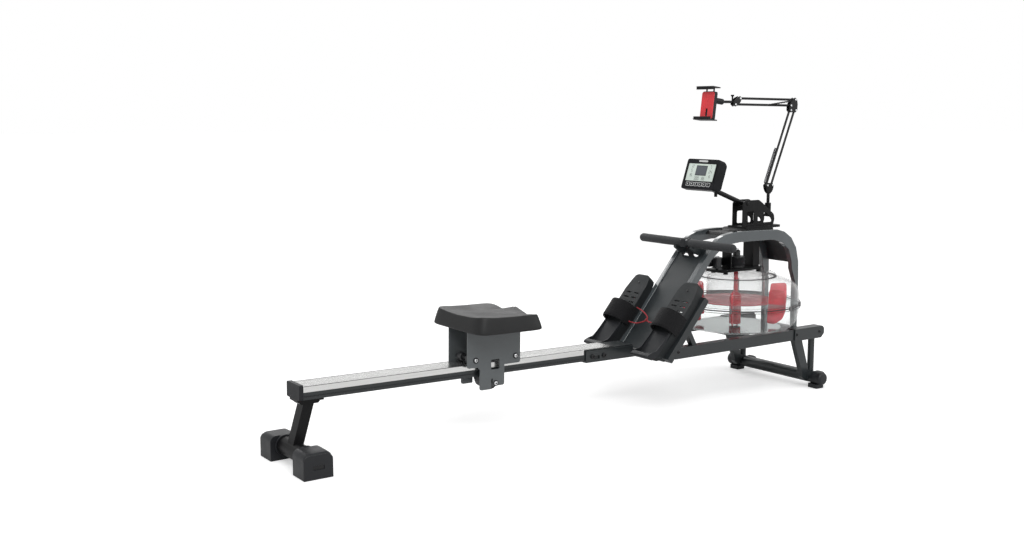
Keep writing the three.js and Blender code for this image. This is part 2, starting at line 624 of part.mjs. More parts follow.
// Front stand: sleeves over the beams, posts, braces, cross bar, wheel ears and the tie under the arches
function standSideGeometry() {
  const outer = beam.inner + beam.width;
  const low = beam.low - stand.sleeveRise;
  const top = beam.low + beam.height + stand.sleeveRise;
  const middle = beam.inner + beam.width / 2;
  const sleeve = extrudeY(outline([
    [beam.front, low], [stand.sleeveFront - stand.chamfer, low], [stand.sleeveFront, low + stand.chamfer],
    [stand.sleeveFront, top - stand.frontEdge], [stand.sleeveFront - stand.frontEdge, top], [beam.front, top],
  ], stand.sleeveRise), beam.inner - stand.sleeveSide, outer + stand.sleeveSide, 2);
  const pocket = block(
    beam.front - overrun, beam.front + beamTail.length + seatGap,
    beam.inner + beamTail.side - seatGap, outer - beamTail.side + seatGap,
    beam.low + beamTail.top - seatGap, beam.low + beam.height - beamTail.top + seatGap,
  );
  const post = rodZ(frontBarStation, middle, stand.barHeight, low + overrun, stand.post, 12);
  const half = stand.braceSide / 2;
  const brace = extrudeY(outline([
    [stand.braceTop - stand.braceWide / 2, low + overrun], [stand.braceTop + stand.braceWide / 2, low + overrun],
    [stand.braceFoot + stand.braceNarrow / 2, stand.gussetLow * 2], [stand.braceFoot - stand.braceNarrow / 2, stand.gussetLow * 2],
  ]), middle - half, middle + half);
  const gusset = extrudeY(outline([
    [stand.gussetRear, stand.gussetHigh], [stand.gussetRear, stand.gussetLow + stand.chamfer],
    [stand.gussetRear + stand.chamfer, stand.gussetLow], [frontBarStation, stand.gussetLow],
    [frontBarStation, stand.gussetHigh],
  ]), middle - half, middle + half);
  const earReach = wheel.station + wheel.earHalf;
  const ears = [wheel.inner - seatGap - wheel.ear, wheel.inner + wheel.width + seatGap].map((y) => extrudeY(outline([
    [frontBarStation, stand.barHeight - wheel.earHalf * 2, 0], [earReach, wheel.height - wheel.earHalf],
    [earReach, wheel.height + wheel.earHalf], [frontBarStation, stand.barHeight + wheel.earHalf * 2, 0],
  ], wheel.earHalf), y, y + wheel.ear, 2));
  const stub = rodY(
    wheel.station, wheel.height, wheel.inner - wheel.ear, wheel.inner + wheel.width + wheel.ear, wheel.axle, 12,
  );
  return join(cut(sleeve, pocket), post, brace, gusset, ...ears, stub);
}

function frontStandGeometry() {
  const side = standSideGeometry();
  const bar = rodY(frontBarStation, stand.barHeight, -stand.barHalf, stand.barHalf, stand.bar, 16);
  const reach = beam.inner - stand.sleeveSide + overrun;
  const tieTop = archSize.footLow - seatGap;
  const tie = block(archFront - stand.tieBehind, archFront + stand.tieAhead, -reach, reach, tieTop - stand.tieDepth, tieTop);
  return join(side, mirrored(side), bar, tie);
}

function frontCapGeometry() {
  const outer = stand.barHalf + frontCap.end;
  const radius = stand.bar + frontCap.wall;
  const length = outer - frontCap.inner;
  const cup = turned([
    [0, 0], [radius, 0], [radius, length - frontCap.round], [radius - frontCap.round / 3, length - frontCap.round / 3],
    [radius - frontCap.round, length], [0, length],
  ], 16).rotateX(-Math.PI / 2).translate(frontBarStation, frontCap.inner, stand.barHeight);
  const foot = extrudeZ(rectangle(
    frontBarStation - frontCap.padLength / 2, frontCap.padInner, frontCap.padLength,
    frontCap.padOuter - frontCap.padInner, frontCap.corner,
  ), 0, stand.barHeight - stand.bar - seatGap);
  const bore = rodY(
    frontBarStation, stand.barHeight, frontCap.padInner - overrun, stand.barHalf + seatGap, stand.bar + seatGap, 16,
  );
  return cut(join(cup, foot), bore);
}

function wheelGeometry() {
  const half = wheel.width / 2;
  const bore = wheel.axle + runGap;
  return turned([
    [bore, -half], [wheel.hub, -half], [wheel.hub, -half + wheel.dish], [wheel.radius - wheel.dish, -half + wheel.dish],
    [wheel.radius - wheel.dish, -half + wheel.ear / 2], [wheel.radius, -half + wheel.ear], [wheel.radius, half - wheel.ear],
    [wheel.radius - wheel.dish, half - wheel.ear / 2], [wheel.radius - wheel.dish, half - wheel.dish],
    [wheel.hub, half - wheel.dish], [wheel.hub, half], [bore, half], [bore, -half],
  ], 14).rotateX(-Math.PI / 2);
}

addMesh(machine, "rail_receiver", receiverGeometry(), materials.powderCoat);
addMesh(machine, "lower_beam_left", beamGeometry(), materials.powderCoat);
addMesh(machine, "lower_beam_right", mirrored(beamGeometry()), materials.powderCoat);
addMesh(machine, "front_stand", frontStandGeometry(), materials.powderCoat);
addMesh(machine, "front_cap_left", frontCapGeometry(), materials.rubber);
addMesh(machine, "front_cap_right", mirrored(frontCapGeometry()), materials.rubber);
[["transport_wheel_left", 1], ["transport_wheel_right", -1]].forEach(([name, side]) => {
  addMesh(machine, name, wheelGeometry(), materials.rubber)
    .position.set(wheel.station, side * (wheel.inner + wheel.width / 2), wheel.height);
});

// Arch: one flat outline from the board edge over the top to a tapering front leg
function boardLine(height, drop) {
  return boardRear + (height - archSize.low) / Math.tan(footAngle) + drop / Math.sin(footAngle);
}

function archOuterLine() {
  const kneeX = boardLine(archSize.top - archSize.knee, 0);
  const headShares = [[0, 1], [0.13, 0.55], [0.36, 0.2], [0.66, 0.04], [1, 0]];
  const shoulderShares = [[0.61, 0.02], [0.42, 0.07], [0.225, 0.195], [0.085, 0.395], [0.015, 0.665], [0, 1]];
  return [
    ...headShares.map(([x, z]) => [kneeX + x * archSize.headReach, archSize.top - z * archSize.knee]),
    ...shoulderShares.map(([x, z]) => [archFront - x * archSize.shoulder, archSize.top - z * archSize.shoulder]),
  ];
}

function archGeometry() {
  const innerTop = archSize.top - archSize.topDepth;
  const innerX = archFront - archSize.headDepth;
  const shoulderShares = [[0, 1], [0.02, 0.76], [0.18, 0.36], [0.47, 0.13], [0.84, 0.02], [1, 0]];
  const innerStart = boardLine(innerTop - archSize.innerKnee, archSize.boardDepth);
  const headShares = [[1, 0], [0.6, 0.1], [0.3, 0.4], [0, 1]];
  const legX = archFront - archSize.legDepth;
  const shape = outline([
    [boardLine(archSize.low, 0), archSize.low],
    ...archOuterLine(),
    [archFront, archSize.footLow],
    [legX, archSize.footLow],
    [legX, archSize.legWaist],
    [innerX, archSize.legSwell],
    ...shoulderShares.slice(1).map(([x, z]) => [innerX - x * archSize.innerShoulder, innerTop - z * archSize.innerShoulder]),
    ...headShares.map(([x, z]) => [innerStart + x * archSize.innerReach, innerTop - z * archSize.innerKnee]),
    [boardLine(archSize.low, archSize.boardDepth), archSize.low],
  ]);
  return extrudeY(shape, archSize.inner, archSize.inner + archSize.width);
}

function boardGeometry() {
  const half = archSize.inner - seatGap;
  const plan = withHoles(
    rectangle(board.low, -half, board.high - board.low, half * 2),
    rectangle(
      board.slotAt - board.slotLength / 2, -board.slotWidth / 2, board.slotLength, board.slotWidth, board.slotLength / 2,
    ),
  );
  const top = -board.recess;
  const sheet = extrudeZ(plan, top - board.sheet, top, 4);
  const flange = block(board.low + board.flange * 2, board.high, half - board.sheet, half, top - board.flange, top);
  const rim = cut(
    extrudeZ(rectangle(
      board.slotAt - board.slotLength / 2 - board.rim, -board.slotWidth / 2 - board.rim,
      board.slotLength + board.rim * 2, board.slotWidth + board.rim * 2, board.slotLength / 2 + board.rim,
    ), top - board.sheet, top + board.rim / 2, 4),
    extrudeZ(rectangle(
      board.slotAt - board.slotLength / 2, -board.slotWidth / 2, board.slotLength, board.slotWidth, board.slotLength / 2,
    ), top - board.sheet - overrun, top + board.rim + overrun, 4),
  );
  const restTop = handle.z - handle.bar - seatGap;
  const rest = extrudeY(outline([
    [handle.x - handleRest.reach, restTop - handleRest.thickness], [boardLine(restTop - handleRest.thickness * 4, 0), restTop - handleRest.thickness * 4],
    [boardLine(restTop, board.recess + board.sheet / 2), restTop], [handle.x - handleRest.reach, restTop],
  ], board.sheet / 2), handleRest.inner, handleRest.outer, 2);
  return join(onClimb(join(sheet, flange, mirrored(flange), rim)), rest, mirrored(rest));
}

function fenderGeometry() {
  const line = archOuterLine().slice(5);
  const dropped = line.slice(0, -1);
  const last = line[line.length - 1];
  dropped.push([last[0], fender.low]);
  const outerSide = besideLine(dropped, fender.inset);
  const innerSide = besideLine(dropped, fender.inset + fender.wall);
  const half = archSize.inner - seatGap;
  const sheet = extrudeY(outline([...outerSide, ...innerSide.reverse()]), -half, half);
  const beadOuter = besideLine(dropped, fender.inset / 2);
  const beadInner = besideLine(dropped, fender.inset + fender.wall / 2);
  const bead = extrudeY(
    outline([...beadOuter, ...beadInner.reverse()]), fender.bead - fender.beadWidth / 2, fender.bead + fender.beadWidth / 2,
  );
  return join(sheet, bead);
}

addMesh(machine, "arch_left", archGeometry(), materials.powderCoat);
addMesh(machine, "arch_right", mirrored(archGeometry()), materials.powderCoat);
addMesh(machine, "front_fender", fenderGeometry(), materials.powderCoat);
addMesh(machine, "foot_board", boardGeometry(), materials.powderCoat);

// Tank: a bowl and a dome that meet at a flanged seam, a lid with a baffle tube, and the water
const tankGroup = new THREE.Group();
tankGroup.position.x = tankStation;
machine.add(tankGroup);

const bowlFootShare = 0.772152;
const bowlShares = [[0.844, 0.055], [0.941, 0.296], [0.985, 0.6], [1, 0.9]];
const domeShares = [[0.996, 0.12], [0.996, 0.317], [0.958, 0.65], [0.85, 0.835]];
const bowlDepth = tank.seam - tankBottom;
const domeDepth = tank.shoulder - tank.seam;
const bowlFoot = tank.radius * bowlFootShare;

function bowlLine(inset) {
  return bowlShares.map(([r, z]) => [r * tank.radius - inset, tankBottom + z * bowlDepth + inset / 3]);
}

function domeLine(inset) {
  return domeShares.map(([r, z]) => [r * tank.radius - inset, tank.seam + z * domeDepth - inset / 3]);
}

function bowlGeometry() {
  const rim = tank.seam - seatGap / 2;
  const flangeLow = rim - tank.flangeDepth;
  const inner = bowlLine(tank.wall).reverse();
  return turned([
    [0, tankBottom], [bowlFoot, tankBottom], ...bowlLine(0), [tank.radius, flangeLow],
    [tank.radius + tank.flange, flangeLow], [tank.radius + tank.flange, rim], [tank.radius - tank.wall, rim],
    ...inner, [bowlFoot - tank.wall, tankBottom + tank.wall], [0, tankBottom + tank.wall],
  ], tankSides);
}

function domeGeometry() {
  const rim = tank.seam + seatGap / 2;
  const flangeTop = rim + tank.flangeDepth;
  const outer = domeLine(0);
  const inner = domeLine(tank.wall).reverse();
  const ledge = tank.lid + tank.lidEdge * 2;
  return turned([
    [tank.radius - tank.wall, rim], [tank.radius + tank.flange, rim], [tank.radius + tank.flange, flangeTop],
    [tank.radius, flangeTop], ...outer.slice(1), [ledge, tank.shoulder], [tank.mouth, tank.shoulder],
    [tank.mouth, tank.shoulder - tank.wall], [ledge - tank.wall, tank.shoulder - tank.wall],
    ...inner.slice(0, -1), [tank.radius - tank.wall, rim],
  ], tankSides);
}

function lidGeometry() {
  const low = tank.shoulder + seatGap;
  return turned([
    [tank.bore, low], [tank.baffle - tank.wall, low], [tank.baffle - tank.wall, tank.baffleLow],
    [tank.baffle, tank.baffleLow], [tank.baffle, low], [tank.lid, low], [tank.lid, tank.lidTop - tank.lidEdge],
    [tank.lid - tank.lidEdge, tank.lidTop], [tank.bore, tank.lidTop], [tank.bore, low],
  ], tankSides);
}

function waterGeometry() {
  const clear = tank.wall + seatGap;
  const floor = tankBottom + tank.wall + seatGap;
  const side = tank.radius - tank.wall - tank.flange;
  const reach = impellerOuter + overrun;
  const innerShares = [[0.69, 0.02], [0.8, 0.1], [0.935, 0.33], [1, 0.62]];
  const depth = tank.water - impeller.low;
  const inside = innerShares.map(([r, z]) => [r * reach, impeller.low - overrun / 2 + z * depth]).reverse();
  return turned([
    [0, floor], [bowlFoot - clear, floor],
    ...bowlLine(clear + seatGap).slice(0, -1).map(([r, z]) => [r, z + seatGap]), [side, tank.seam], [side, tank.water],
    [reach, tank.water], ...inside, [0, impeller.low - overrun / 2],
  ], tankSides);
}

function impellerGeometry() {
  const depth = impeller.high - impeller.low;
  const paddleShares = [[0, 0.12], [0.42, 0.12], [0.82, 0.27], [1, 0.5], [0.96, 1], [0.1, 1]];
  const blade = extrudeY(
    outline(paddleShares.map(([r, z]) => [impellerInner + r * impeller.span, impeller.low + z * depth]), impeller.corner),
    -impeller.paddle / 2, impeller.paddle / 2, 2,
  );
  const blades = Array.from({ length: impeller.count }, (_, index) => {
    const angle = THREE.MathUtils.degToRad(impeller.phase) + (index / impeller.count) * Math.PI * 2;
    return blade.clone().rotateZ(angle);
  });
  const core = turned([
    [0, impeller.low], [impeller.hub, impeller.low], [impeller.hub, impeller.disc - impeller.discThickness / 2],
    [impellerInner + impeller.corner, impeller.disc - impeller.discThickness / 2],
    [impellerInner + impeller.corner, impeller.disc + impeller.discThickness / 2],
    [impeller.hub, impeller.disc + impeller.discThickness / 2],
    [impeller.hub, impeller.hubTop], [impeller.shaft, impeller.hubTop + impeller.shaft],
    [impeller.shaft, drum.low - seatGap], [0, drum.low - seatGap],
  ], 14);
  return join(core, ...blades);
}

function cradleGeometry() {
  const reach = beam.inner - seatGap;
  const top = tankBottom - seatGap;
  const bars = [-1, 1].map((side) => {
    const middle = tankStation + side * cradle.reach;
    return block(middle - cradle.length / 2, middle + cradle.length / 2, -reach, reach, top - cradle.depth, top);
  });
  const spine = block(
    tankStation - cradle.reach, tankStation + cradle.reach, -cradle.length / 2, cradle.length / 2, top - cradle.depth, top,
  );
  return join(...bars, spine);
}

addMesh(machine, "tank_cradle", cradleGeometry(), materials.powderCoat);
addMesh(tankGroup, "tank_bowl", bowlGeometry(), materials.clearPlastic);
addMesh(tankGroup, "tank_dome", domeGeometry(), materials.clearPlastic);
addMesh(tankGroup, "tank_lid", lidGeometry(), materials.clearPlastic);
addMesh(tankGroup, "tank_water", waterGeometry(), materials.water);
addMesh(tankGroup, "impeller", impellerGeometry(), materials.redPlastic);

// Drive: a bridge plate on the lid carries the drum, the guide pulley and a post up to the arch cover
function bridgeGeometry() {
  const footShares = { along: 0.9, side: 1.5 };
  const gussetShares = { reach: 0.4, drop: 0.3 };
  const top = bridge.low + bridge.thickness;
  const plate = extrudeZ(withHoles(
    rectangle(bridge.rear, -bridge.half, bridge.front - bridge.rear, bridge.half * 2, bridge.corner),
    disc(tankStation, 0, impeller.shaft + runGap * 2),
  ), bridge.low, top, 4);
  const feet = [-1, 1].flatMap((x) => [-1, 1].map((y) => rodZ(
    tankStation + x * bridge.footInset * footShares.along, y * (bridge.half - bridge.foot * footShares.side), tank.lidTop + seatGap,
    bridge.low + overrun, bridge.foot, 12,
  )));
  const web = block(
    bridgeWeb.rear, bridgeWeb.rear + bridgeWeb.thickness, -bridgeWeb.right, bridgeWeb.left, top - overrun, bridgeWeb.top,
  );
  const coverLow = archSize.top - archSize.knee / 2 - seatGap;
  const post = extrudeY(outline([
    [bridgePost.rear, top - overrun], [bridgePost.front, top - overrun], [bridgePost.front, coverLow - bridgePost.gussetDepth],
    [bridgePost.front + bridgePost.gusset * gussetShares.reach, coverLow - bridgePost.gussetDepth * gussetShares.drop],
    [bridgePost.front + bridgePost.gusset, coverLow], [bridgePost.rear, coverLow],
  ]), -bridgePost.half, bridgePost.half);
  const pin = rodZ(guide.station, 0, top - overrun, guide.high + guide.pin, guide.pin, 12);
  return join(plate, ...feet, web, post, pin);
}

function drumGeometry() {
  const body = [
    [0, drum.low], [drum.flange, drum.low], [drum.flange, drum.low + drum.rim], [drum.spool, drum.low + drum.rim],
    [drum.spool, drum.high - drum.rim], [drum.flange, drum.high - drum.rim], [drum.flange, drum.high],
    [drum.hub, drum.high], [drum.hub, drum.hubTop - drum.rim], [drum.hub - drum.rim, drum.hubTop], [0, drum.hubTop],
  ];
  return turned(body, 18);
}

function guideGeometry() {
  const bore = guide.pin + runGap;
  return turned([
    [bore, guide.low], [guide.radius + guide.rim, guide.low], [guide.radius + guide.rim, guide.low + guide.groove],
    [guide.radius, guide.low + guide.groove], [guide.radius, guide.high - guide.groove],
    [guide.radius + guide.rim, guide.high - guide.groove], [guide.radius + guide.rim, guide.high], [bore, guide.high],
    [bore, guide.low],
  ], 16);
}

addMesh(machine, "drive_bracket", bridgeGeometry(), materials.powderCoat);
addMesh(tankGroup, "drive_drum", drumGeometry(), materials.darkPlastic);
addMesh(machine, "guide_pulley", guideGeometry(), materials.darkPlastic).position.x = guide.station;

// Footplates: ribbed shells with a waisted plan, resting on the arches and the struts
function plateGeometry() {
  const side = extrudeY(outline([
    [plate.low, plate.lip], [plate.low + plate.lip, plate.top], [plate.high - plate.wall, plate.top],
    [plate.high, plate.toe], [plate.high - plate.wall, seatGap], [0, seatGap],
  ], plate.wall), plate.inner - overrun, plate.outer + overrun, 3);
  const length = plate.high - plate.low;
  const width = plate.outer - plate.inner;
  const planShares = [
    [0, 0.16], [0, 0.86], [0.3, 0.97], [0.52, 1], [0.8, 1], [0.86, 0.93], [0.93, 0.93], [1, 0.8], [1, 0.22], [0.9, 0.03],
    [0.52, 0], [0.3, 0.03],
  ];
  const plan = (inset) => outline(planShares.map(([s, y]) => [
    plate.low + inset + s * (length - inset * 2), plate.inner + inset + y * (width - inset * 2),
  ]), plate.corner);
  const body = common(side, extrudeZ(plan(0), 0, plate.top + overrun, 1));
  const hollow = common(
    extrudeZ(plan(plate.wall), -overrun, plate.top - plate.wall, 1),
    block(plate.wall, plate.high - plate.wall * 2, plate.inner, plate.outer, -overrun, plate.top),
  );
  const middle = (plate.inner + plate.outer) / 2;
  const slots = Array.from({ length: plate.slots }, (_, index) => [-1, 1].map((edge) => {
    const centre = middle + edge * (width / 2 - plate.slotInset - plate.slotLength / 2);
    const start = plate.slotStart + index * plate.slotPitch;
    return extrudeZ(rectangle(
      start, centre - plate.slotLength / 2, plate.slotWidth, plate.slotLength, plate.slotWidth / 2,
    ), plate.top - plate.wall - overrun, plate.top + overrun, 1);
  })).flat();
  return cut(body, hollow, ...slots);
}

function heelGeometry() {
  const floor = plate.top + seatGap;
  const profileShares = [[0, 0.94], [0.06, 1], [0.2, 0.78], [0.34, 0.42], [0.62, 0.3], [1, 0.22]];
  const length = heel.high - heel.tip;
  const rise = heel.tipHeight - floor;
  const line = profileShares.map(([s, z]) => [heel.tip + s * length, floor + z * rise]);
  const outer = extrudeY(outline([
    ...line, [heel.high, floor], [plate.low + plate.lip, floor], [heel.tip + heel.corner, floor + heel.sideHeight],
  ], heel.corner), heel.inner, heel.outer, 3);
  const cavity = extrudeY(outline([
    [heel.tip + heel.wall * 4, heel.tipHeight + overrun], [plate.low + heel.sideHeight, floor + heel.base],
    [heel.high + overrun, floor + heel.base], [heel.high + overrun, heel.tipHeight + overrun],
  ], heel.wall), heel.inner + heel.wall, heel.outer - heel.wall, 3);
  return cut(outer, cavity);
}

function footBandGeometry() {
  const left = plate.inner - seatGap;
  const right = plate.outer + seatGap;
  const t = footBand.thickness;
  const s = footBand.shoulder;
  const high = footBand.height;
  const arch = outline([
    [left - t, footBand.foot], [left, footBand.foot], [left, plate.top + t], [left + s, high - t],
    [right - s, high - t], [right, plate.top + t], [right, footBand.foot], [right + t, footBand.foot],
    [right + t, plate.top + t * 2], [right - s + t, high], [left + s - t, high], [left - t, plate.top + t * 2],
  ], t);
  return extrudeX(arch, footBand.low, footBand.low + footBand.width, 3);
}

// Red cord: a bight tied to the left plate, a knot, and a tail to the right plate
const cordRoute = [[153, 77.2], [144, 40], [127, 2], [112, -6], [98, 14], [91, 42], [92, 73.7]];
const cordTail = [[112, -6], [106, -30], [112, -73.7]];

function cordGeometry() {
  const tube = (route) => {
    const curve = new THREE.CatmullRomCurve3(route.map(([s, y]) => point(s, y, cord.standoff)));
    const section = new THREE.Shape(Array.from({ length: 8 }, (_, index) => {
      const angle = (index / 8) * Math.PI * 2;
      return new THREE.Vector2(Math.cos(angle) * cord.radius, Math.sin(angle) * cord.radius);
    }));
    return new THREE.ExtrudeGeometry(section, { steps: route.length * 2, extrudePath: curve, bevelEnabled: false });
  };
  const [s, y] = cordTail[0];
  const knot = new THREE.SphereGeometry(cord.knot, 8, 6).translate(s, y, cord.standoff);
  return join(tube(cordRoute), tube(cordTail), knot);
}

[["left", (g) => g], ["right", mirrored]].forEach(([side, place]) => {
  addMesh(climb, `footplate_${side}`, place(plateGeometry()), materials.darkPlastic);
  addMesh(climb, `heel_slider_${side}`, place(heelGeometry()), materials.darkPlastic);
  addMesh(climb, `foot_strap_${side}`, place(footBandGeometry()), materials.rubber);
});
addMesh(climb, "heel_cord", cordGeometry(), materials.redCord);

// Console: a leaning box with a screen recess and six buttons, on lugs at the tip of its arm
const consoleGroup = new THREE.Group();
consoleGroup.position.set(consoleBox.x, 0, consoleBox.z);
consoleGroup.rotation.y = THREE.MathUtils.degToRad(consoleBox.lean);
machine.add(consoleGroup);
consoleGroup.updateMatrix();

function intoConsole(x, z) {
  return point(x, 0, z).applyMatrix4(consoleGroup.matrix.clone().invert());
}

const buttonPlaces = Array.from(
  { length: consoleButton.count },
  (_, index) => (index - (consoleButton.count - 1) / 2) * consoleButton.pitch,
);

function consoleHousingGeometry() {
  const half = consoleBox.width / 2;
  const front = extrudeX(rectangle(-half, 0, half * 2, consoleBox.height, consoleBox.corner), 0, consoleBox.depth, 3);
  const side = extrudeY(outline([
    [0, 0, 0], [0, consoleBox.height, 0], [consoleBox.depth - consoleBox.chamfer, consoleBox.height],
    [consoleBox.depth, consoleBox.height - consoleBox.chamfer], [consoleBox.depth, consoleBox.chamfer],
    [consoleBox.depth - consoleBox.chamfer, 0],
  ], consoleBox.corner / 2), -half - overrun, half + overrun, 3);
  const pivot = intoConsole(consoleArm.tipX, consoleArm.tipZ);
  const lugFlareShare = 1.4;
  const lugs = [-1, 1].map((edge) => {
    const inside = consoleBox.lugGap / 2;
    const ear = outline([
      [consoleBox.depth - overrun, pivot.z - consoleBox.lugRadius * lugFlareShare], [pivot.x, pivot.z - consoleBox.lugRadius],
      [pivot.x + consoleBox.lugRadius, pivot.z], [pivot.x, pivot.z + consoleBox.lugRadius],
      [consoleBox.depth - overrun, pivot.z + consoleBox.lugRadius * lugFlareShare],
    ], consoleBox.lugRadius / 2);
    const y = edge > 0 ? inside : -inside - consoleBox.lug;
    return extrudeY(withHoles(ear, disc(pivot.x, pivot.z, consoleArm.pin + seatGap, 10)), y, y + consoleBox.lug, 3);
  });
  const screen = extrudeX(rectangle(
    -consoleBox.lcdWidth / 2, consoleBox.lcdLow, consoleBox.lcdWidth, consoleBox.lcdHeight, consoleButton.corner,
  ), -overrun, consoleBox.lcdDepth, 2);
  const pockets = buttonPlaces.map((y) => extrudeX(rectangle(
    y - consoleButton.width / 2 - seatGap, consoleButton.middle - consoleButton.height / 2 - seatGap,
    consoleButton.width + seatGap * 2, consoleButton.height + seatGap * 2, consoleButton.corner,
  ), -overrun, consoleButton.pocket, 1));
  return cut(join(common(front, side), ...lugs), screen, ...pockets);
}

function buttonGeometry() {
  return extrudeX(rectangle(
    -consoleButton.width / 2, -consoleButton.height / 2, consoleButton.width, consoleButton.height, consoleButton.corner,
  ), -consoleButton.proud, consoleButton.depth, 1);
}

function consoleArmGeometry() {
  const from = point(consoleArm.pivotX, 0, consoleArm.pivotZ);
  const to = point(consoleArm.tipX, 0, consoleArm.tipZ);
  const way = to.clone().sub(from).normalize();
  const tube = rod(from, to.clone().addScaledVector(way, -consoleArm.barrel / 2), consoleArm.radius, 12);
  const tip = rodY(to.x, to.z, -consoleBox.lugGap / 2 + seatGap, consoleBox.lugGap / 2 - seatGap, consoleArm.barrel, 12);
  const pinReach = consoleBox.lugGap / 2 + consoleBox.lug + overrun / 2;
  const pin = rodY(to.x, to.z, -pinReach, pinReach, consoleArm.pin, 10);
  const hubHalf = bracket.half - bracket.wall - seatGap;
  const hub = rodY(from.x, from.z, -hubHalf, hubHalf, consoleArm.radius, 12);
  const axle = rodY(from.x, from.z, -bracket.half - overrun / 2, bracket.half + overrun / 2, consoleArm.pin, 10);
  const knobAt = from.clone().lerp(to, consoleArm.knobShare);
  const knob = rod(knobAt, knobAt.clone().add(point(0, 0, -consoleArm.knobReach)), consoleArm.knob, 10);
  return join(tube, tip, pin, hub, axle, knob);
}

function bracketGeometry() {
  const sideShares = [
    [0, 0], [0, 0.92], [0.09, 1], [0.5, 1], [0.75, 0.73], [0.98, 0.45], [1, 0.26], [0.94, 0],
  ];
  const windowShares = [
    [[0.13, 0.16], [0.35, 0.16], [0.35, 0.6], [0.13, 0.6]],
    [[0.47, 0.16], [0.57, 0.16], [0.57, 0.32], [0.47, 0.42]],
    [[0.64, 0.18], [0.92, 0.18], [0.9, 0.3], [0.72, 0.54], [0.64, 0.52]],
  ];
  const length = bracket.front - bracket.rear;
  const height = bracket.top - bracket.base;
  const place = ([x, z]) => [bracket.rear + x * length, bracket.base + z * height];
  const windows = windowShares.map((corners) => outline(corners.map(place), bracket.wall));
  const axle = disc(consoleArm.pivotX, consoleArm.pivotZ, consoleArm.pin + seatGap, 10);
  const wall = extrudeY(
    withHoles(outline(sideShares.map(place), bracket.wall), ...windows, axle), bracket.half - bracket.wall, bracket.half, 1,
  );
  const base = extrudeZ(rectangle(
    bracket.baseRear, -bracket.baseHalf, bracket.baseFront - bracket.baseRear, bracket.baseHalf * 2, bracket.wall * 2,
  ), bracket.base, bracket.base + bracket.baseThickness, 3);
  const coverHalf = archSize.inner - seatGap;
  const coverTop = bracket.base + overrun;
  const coverLow = archSize.top - archSize.knee / 2;
  const cover = extrudeY(outline([
    [bracket.coverRear, coverLow], [archFront - bracket.coverBehind, coverLow], [archFront - bracket.coverBehind, coverTop],
    [bracket.baseRear, coverTop], [bracket.baseRear - bracket.coverThickness, coverLow + bracket.coverThickness],
    [bracket.coverRear + bracket.coverThickness, coverLow + bracket.coverThickness],
  ], bracket.wall), -coverHalf, coverHalf, 2);
  const boss = rodZ(deviceArm.baseX, 0, bracket.bossLow, bracket.bossTop, bracket.bossRadius, 12);
  const web = extrudeX(rectangle(
    -bracket.half + bracket.wall / 2, bracket.bossLow, bracket.half * 2 - bracket.wall, bracket.wall * 2,
  ), deviceArm.baseX - bracket.bossRadius * 2, deviceArm.baseX + bracket.bossRadius / 4);
  return join(wall, mirrored(wall), base, cover, boss, web);
}

addMesh(machine, "console_bracket", bracketGeometry(), materials.powderCoat);
addMesh(machine, "console_arm", consoleArmGeometry(), materials.powderCoat);
addMesh(consoleGroup, "console_housing", consoleHousingGeometry(), materials.darkPlastic);
buttonPlaces.forEach((y, index) => {
  addMesh(consoleGroup, `console_button_${index + 1}`, buttonGeometry(), materials.button)
    .position.set(0, y, consoleButton.middle);
});

// Device arm: bars with pins at both ends, held by forked plates
const lowerRear = point(deviceArm.baseX - deviceArm.spacing / 2, 0, deviceArm.baseZ);
const lowerFront = point(deviceArm.baseX + deviceArm.spacing / 2, 0, deviceArm.baseZ);
const lowerSpan = point(deviceArm.lowerRun, 0, deviceArm.lowerRise);
const elbowRear = lowerRear.clone().add(lowerSpan);
const elbowFront = lowerFront.clone().add(lowerSpan);
const upperLow = elbowRear.clone().add(point(0, 0, deviceArm.elbowRise));
const upperHigh = upperLow.clone().add(point(deviceArm.upperStepX, 0, deviceArm.upperStepZ));
const upperSpan = point(deviceArm.upperRun, 0, deviceArm.upperRise);
const headLow = upperLow.clone().add(upperSpan);
const headHigh = upperHigh.clone().add(upperSpan);

function barGeometry(from, to, ...extras) {
  const reach = deviceArm.fork + deviceArm.plate + deviceArm.pin / 2;
  const pins = [from, to].map((end) => rodY(end.x, end.z, -reach, reach, deviceArm.pin, 6));
  const cheek = deviceArm.fork - seatGap;
  const eyes = [from, to].map((end) => rodY(end.x, end.z, -cheek, cheek, deviceArm.bar + deviceArm.pin / 2, 10));
  return join(rod(from, to, deviceArm.bar, 8), ...pins, ...eyes, ...extras);
}

// Plates on both sides of the bars: an outline with an eye at each pivot
function forkGeometry(corners, pivots, spacers) {
  const sides = [-1, 1].map((edge) => {
    const shape = withHoles(
      outline(corners, deviceArm.eye), ...pivots.map((pivot) => disc(pivot.x, pivot.z, deviceArm.pin + seatGap, 8)),
    );
    const y = edge > 0 ? deviceArm.fork : -deviceArm.fork - deviceArm.plate;
    return extrudeY(shape, y, y + deviceArm.plate, 1);
  });
  const reach = deviceArm.fork + deviceArm.plate / 2;
  const rods = spacers.map(([x, z]) => rodY(x, z, -reach, reach, deviceArm.spacer, 8));
  return [...sides, ...rods];
}

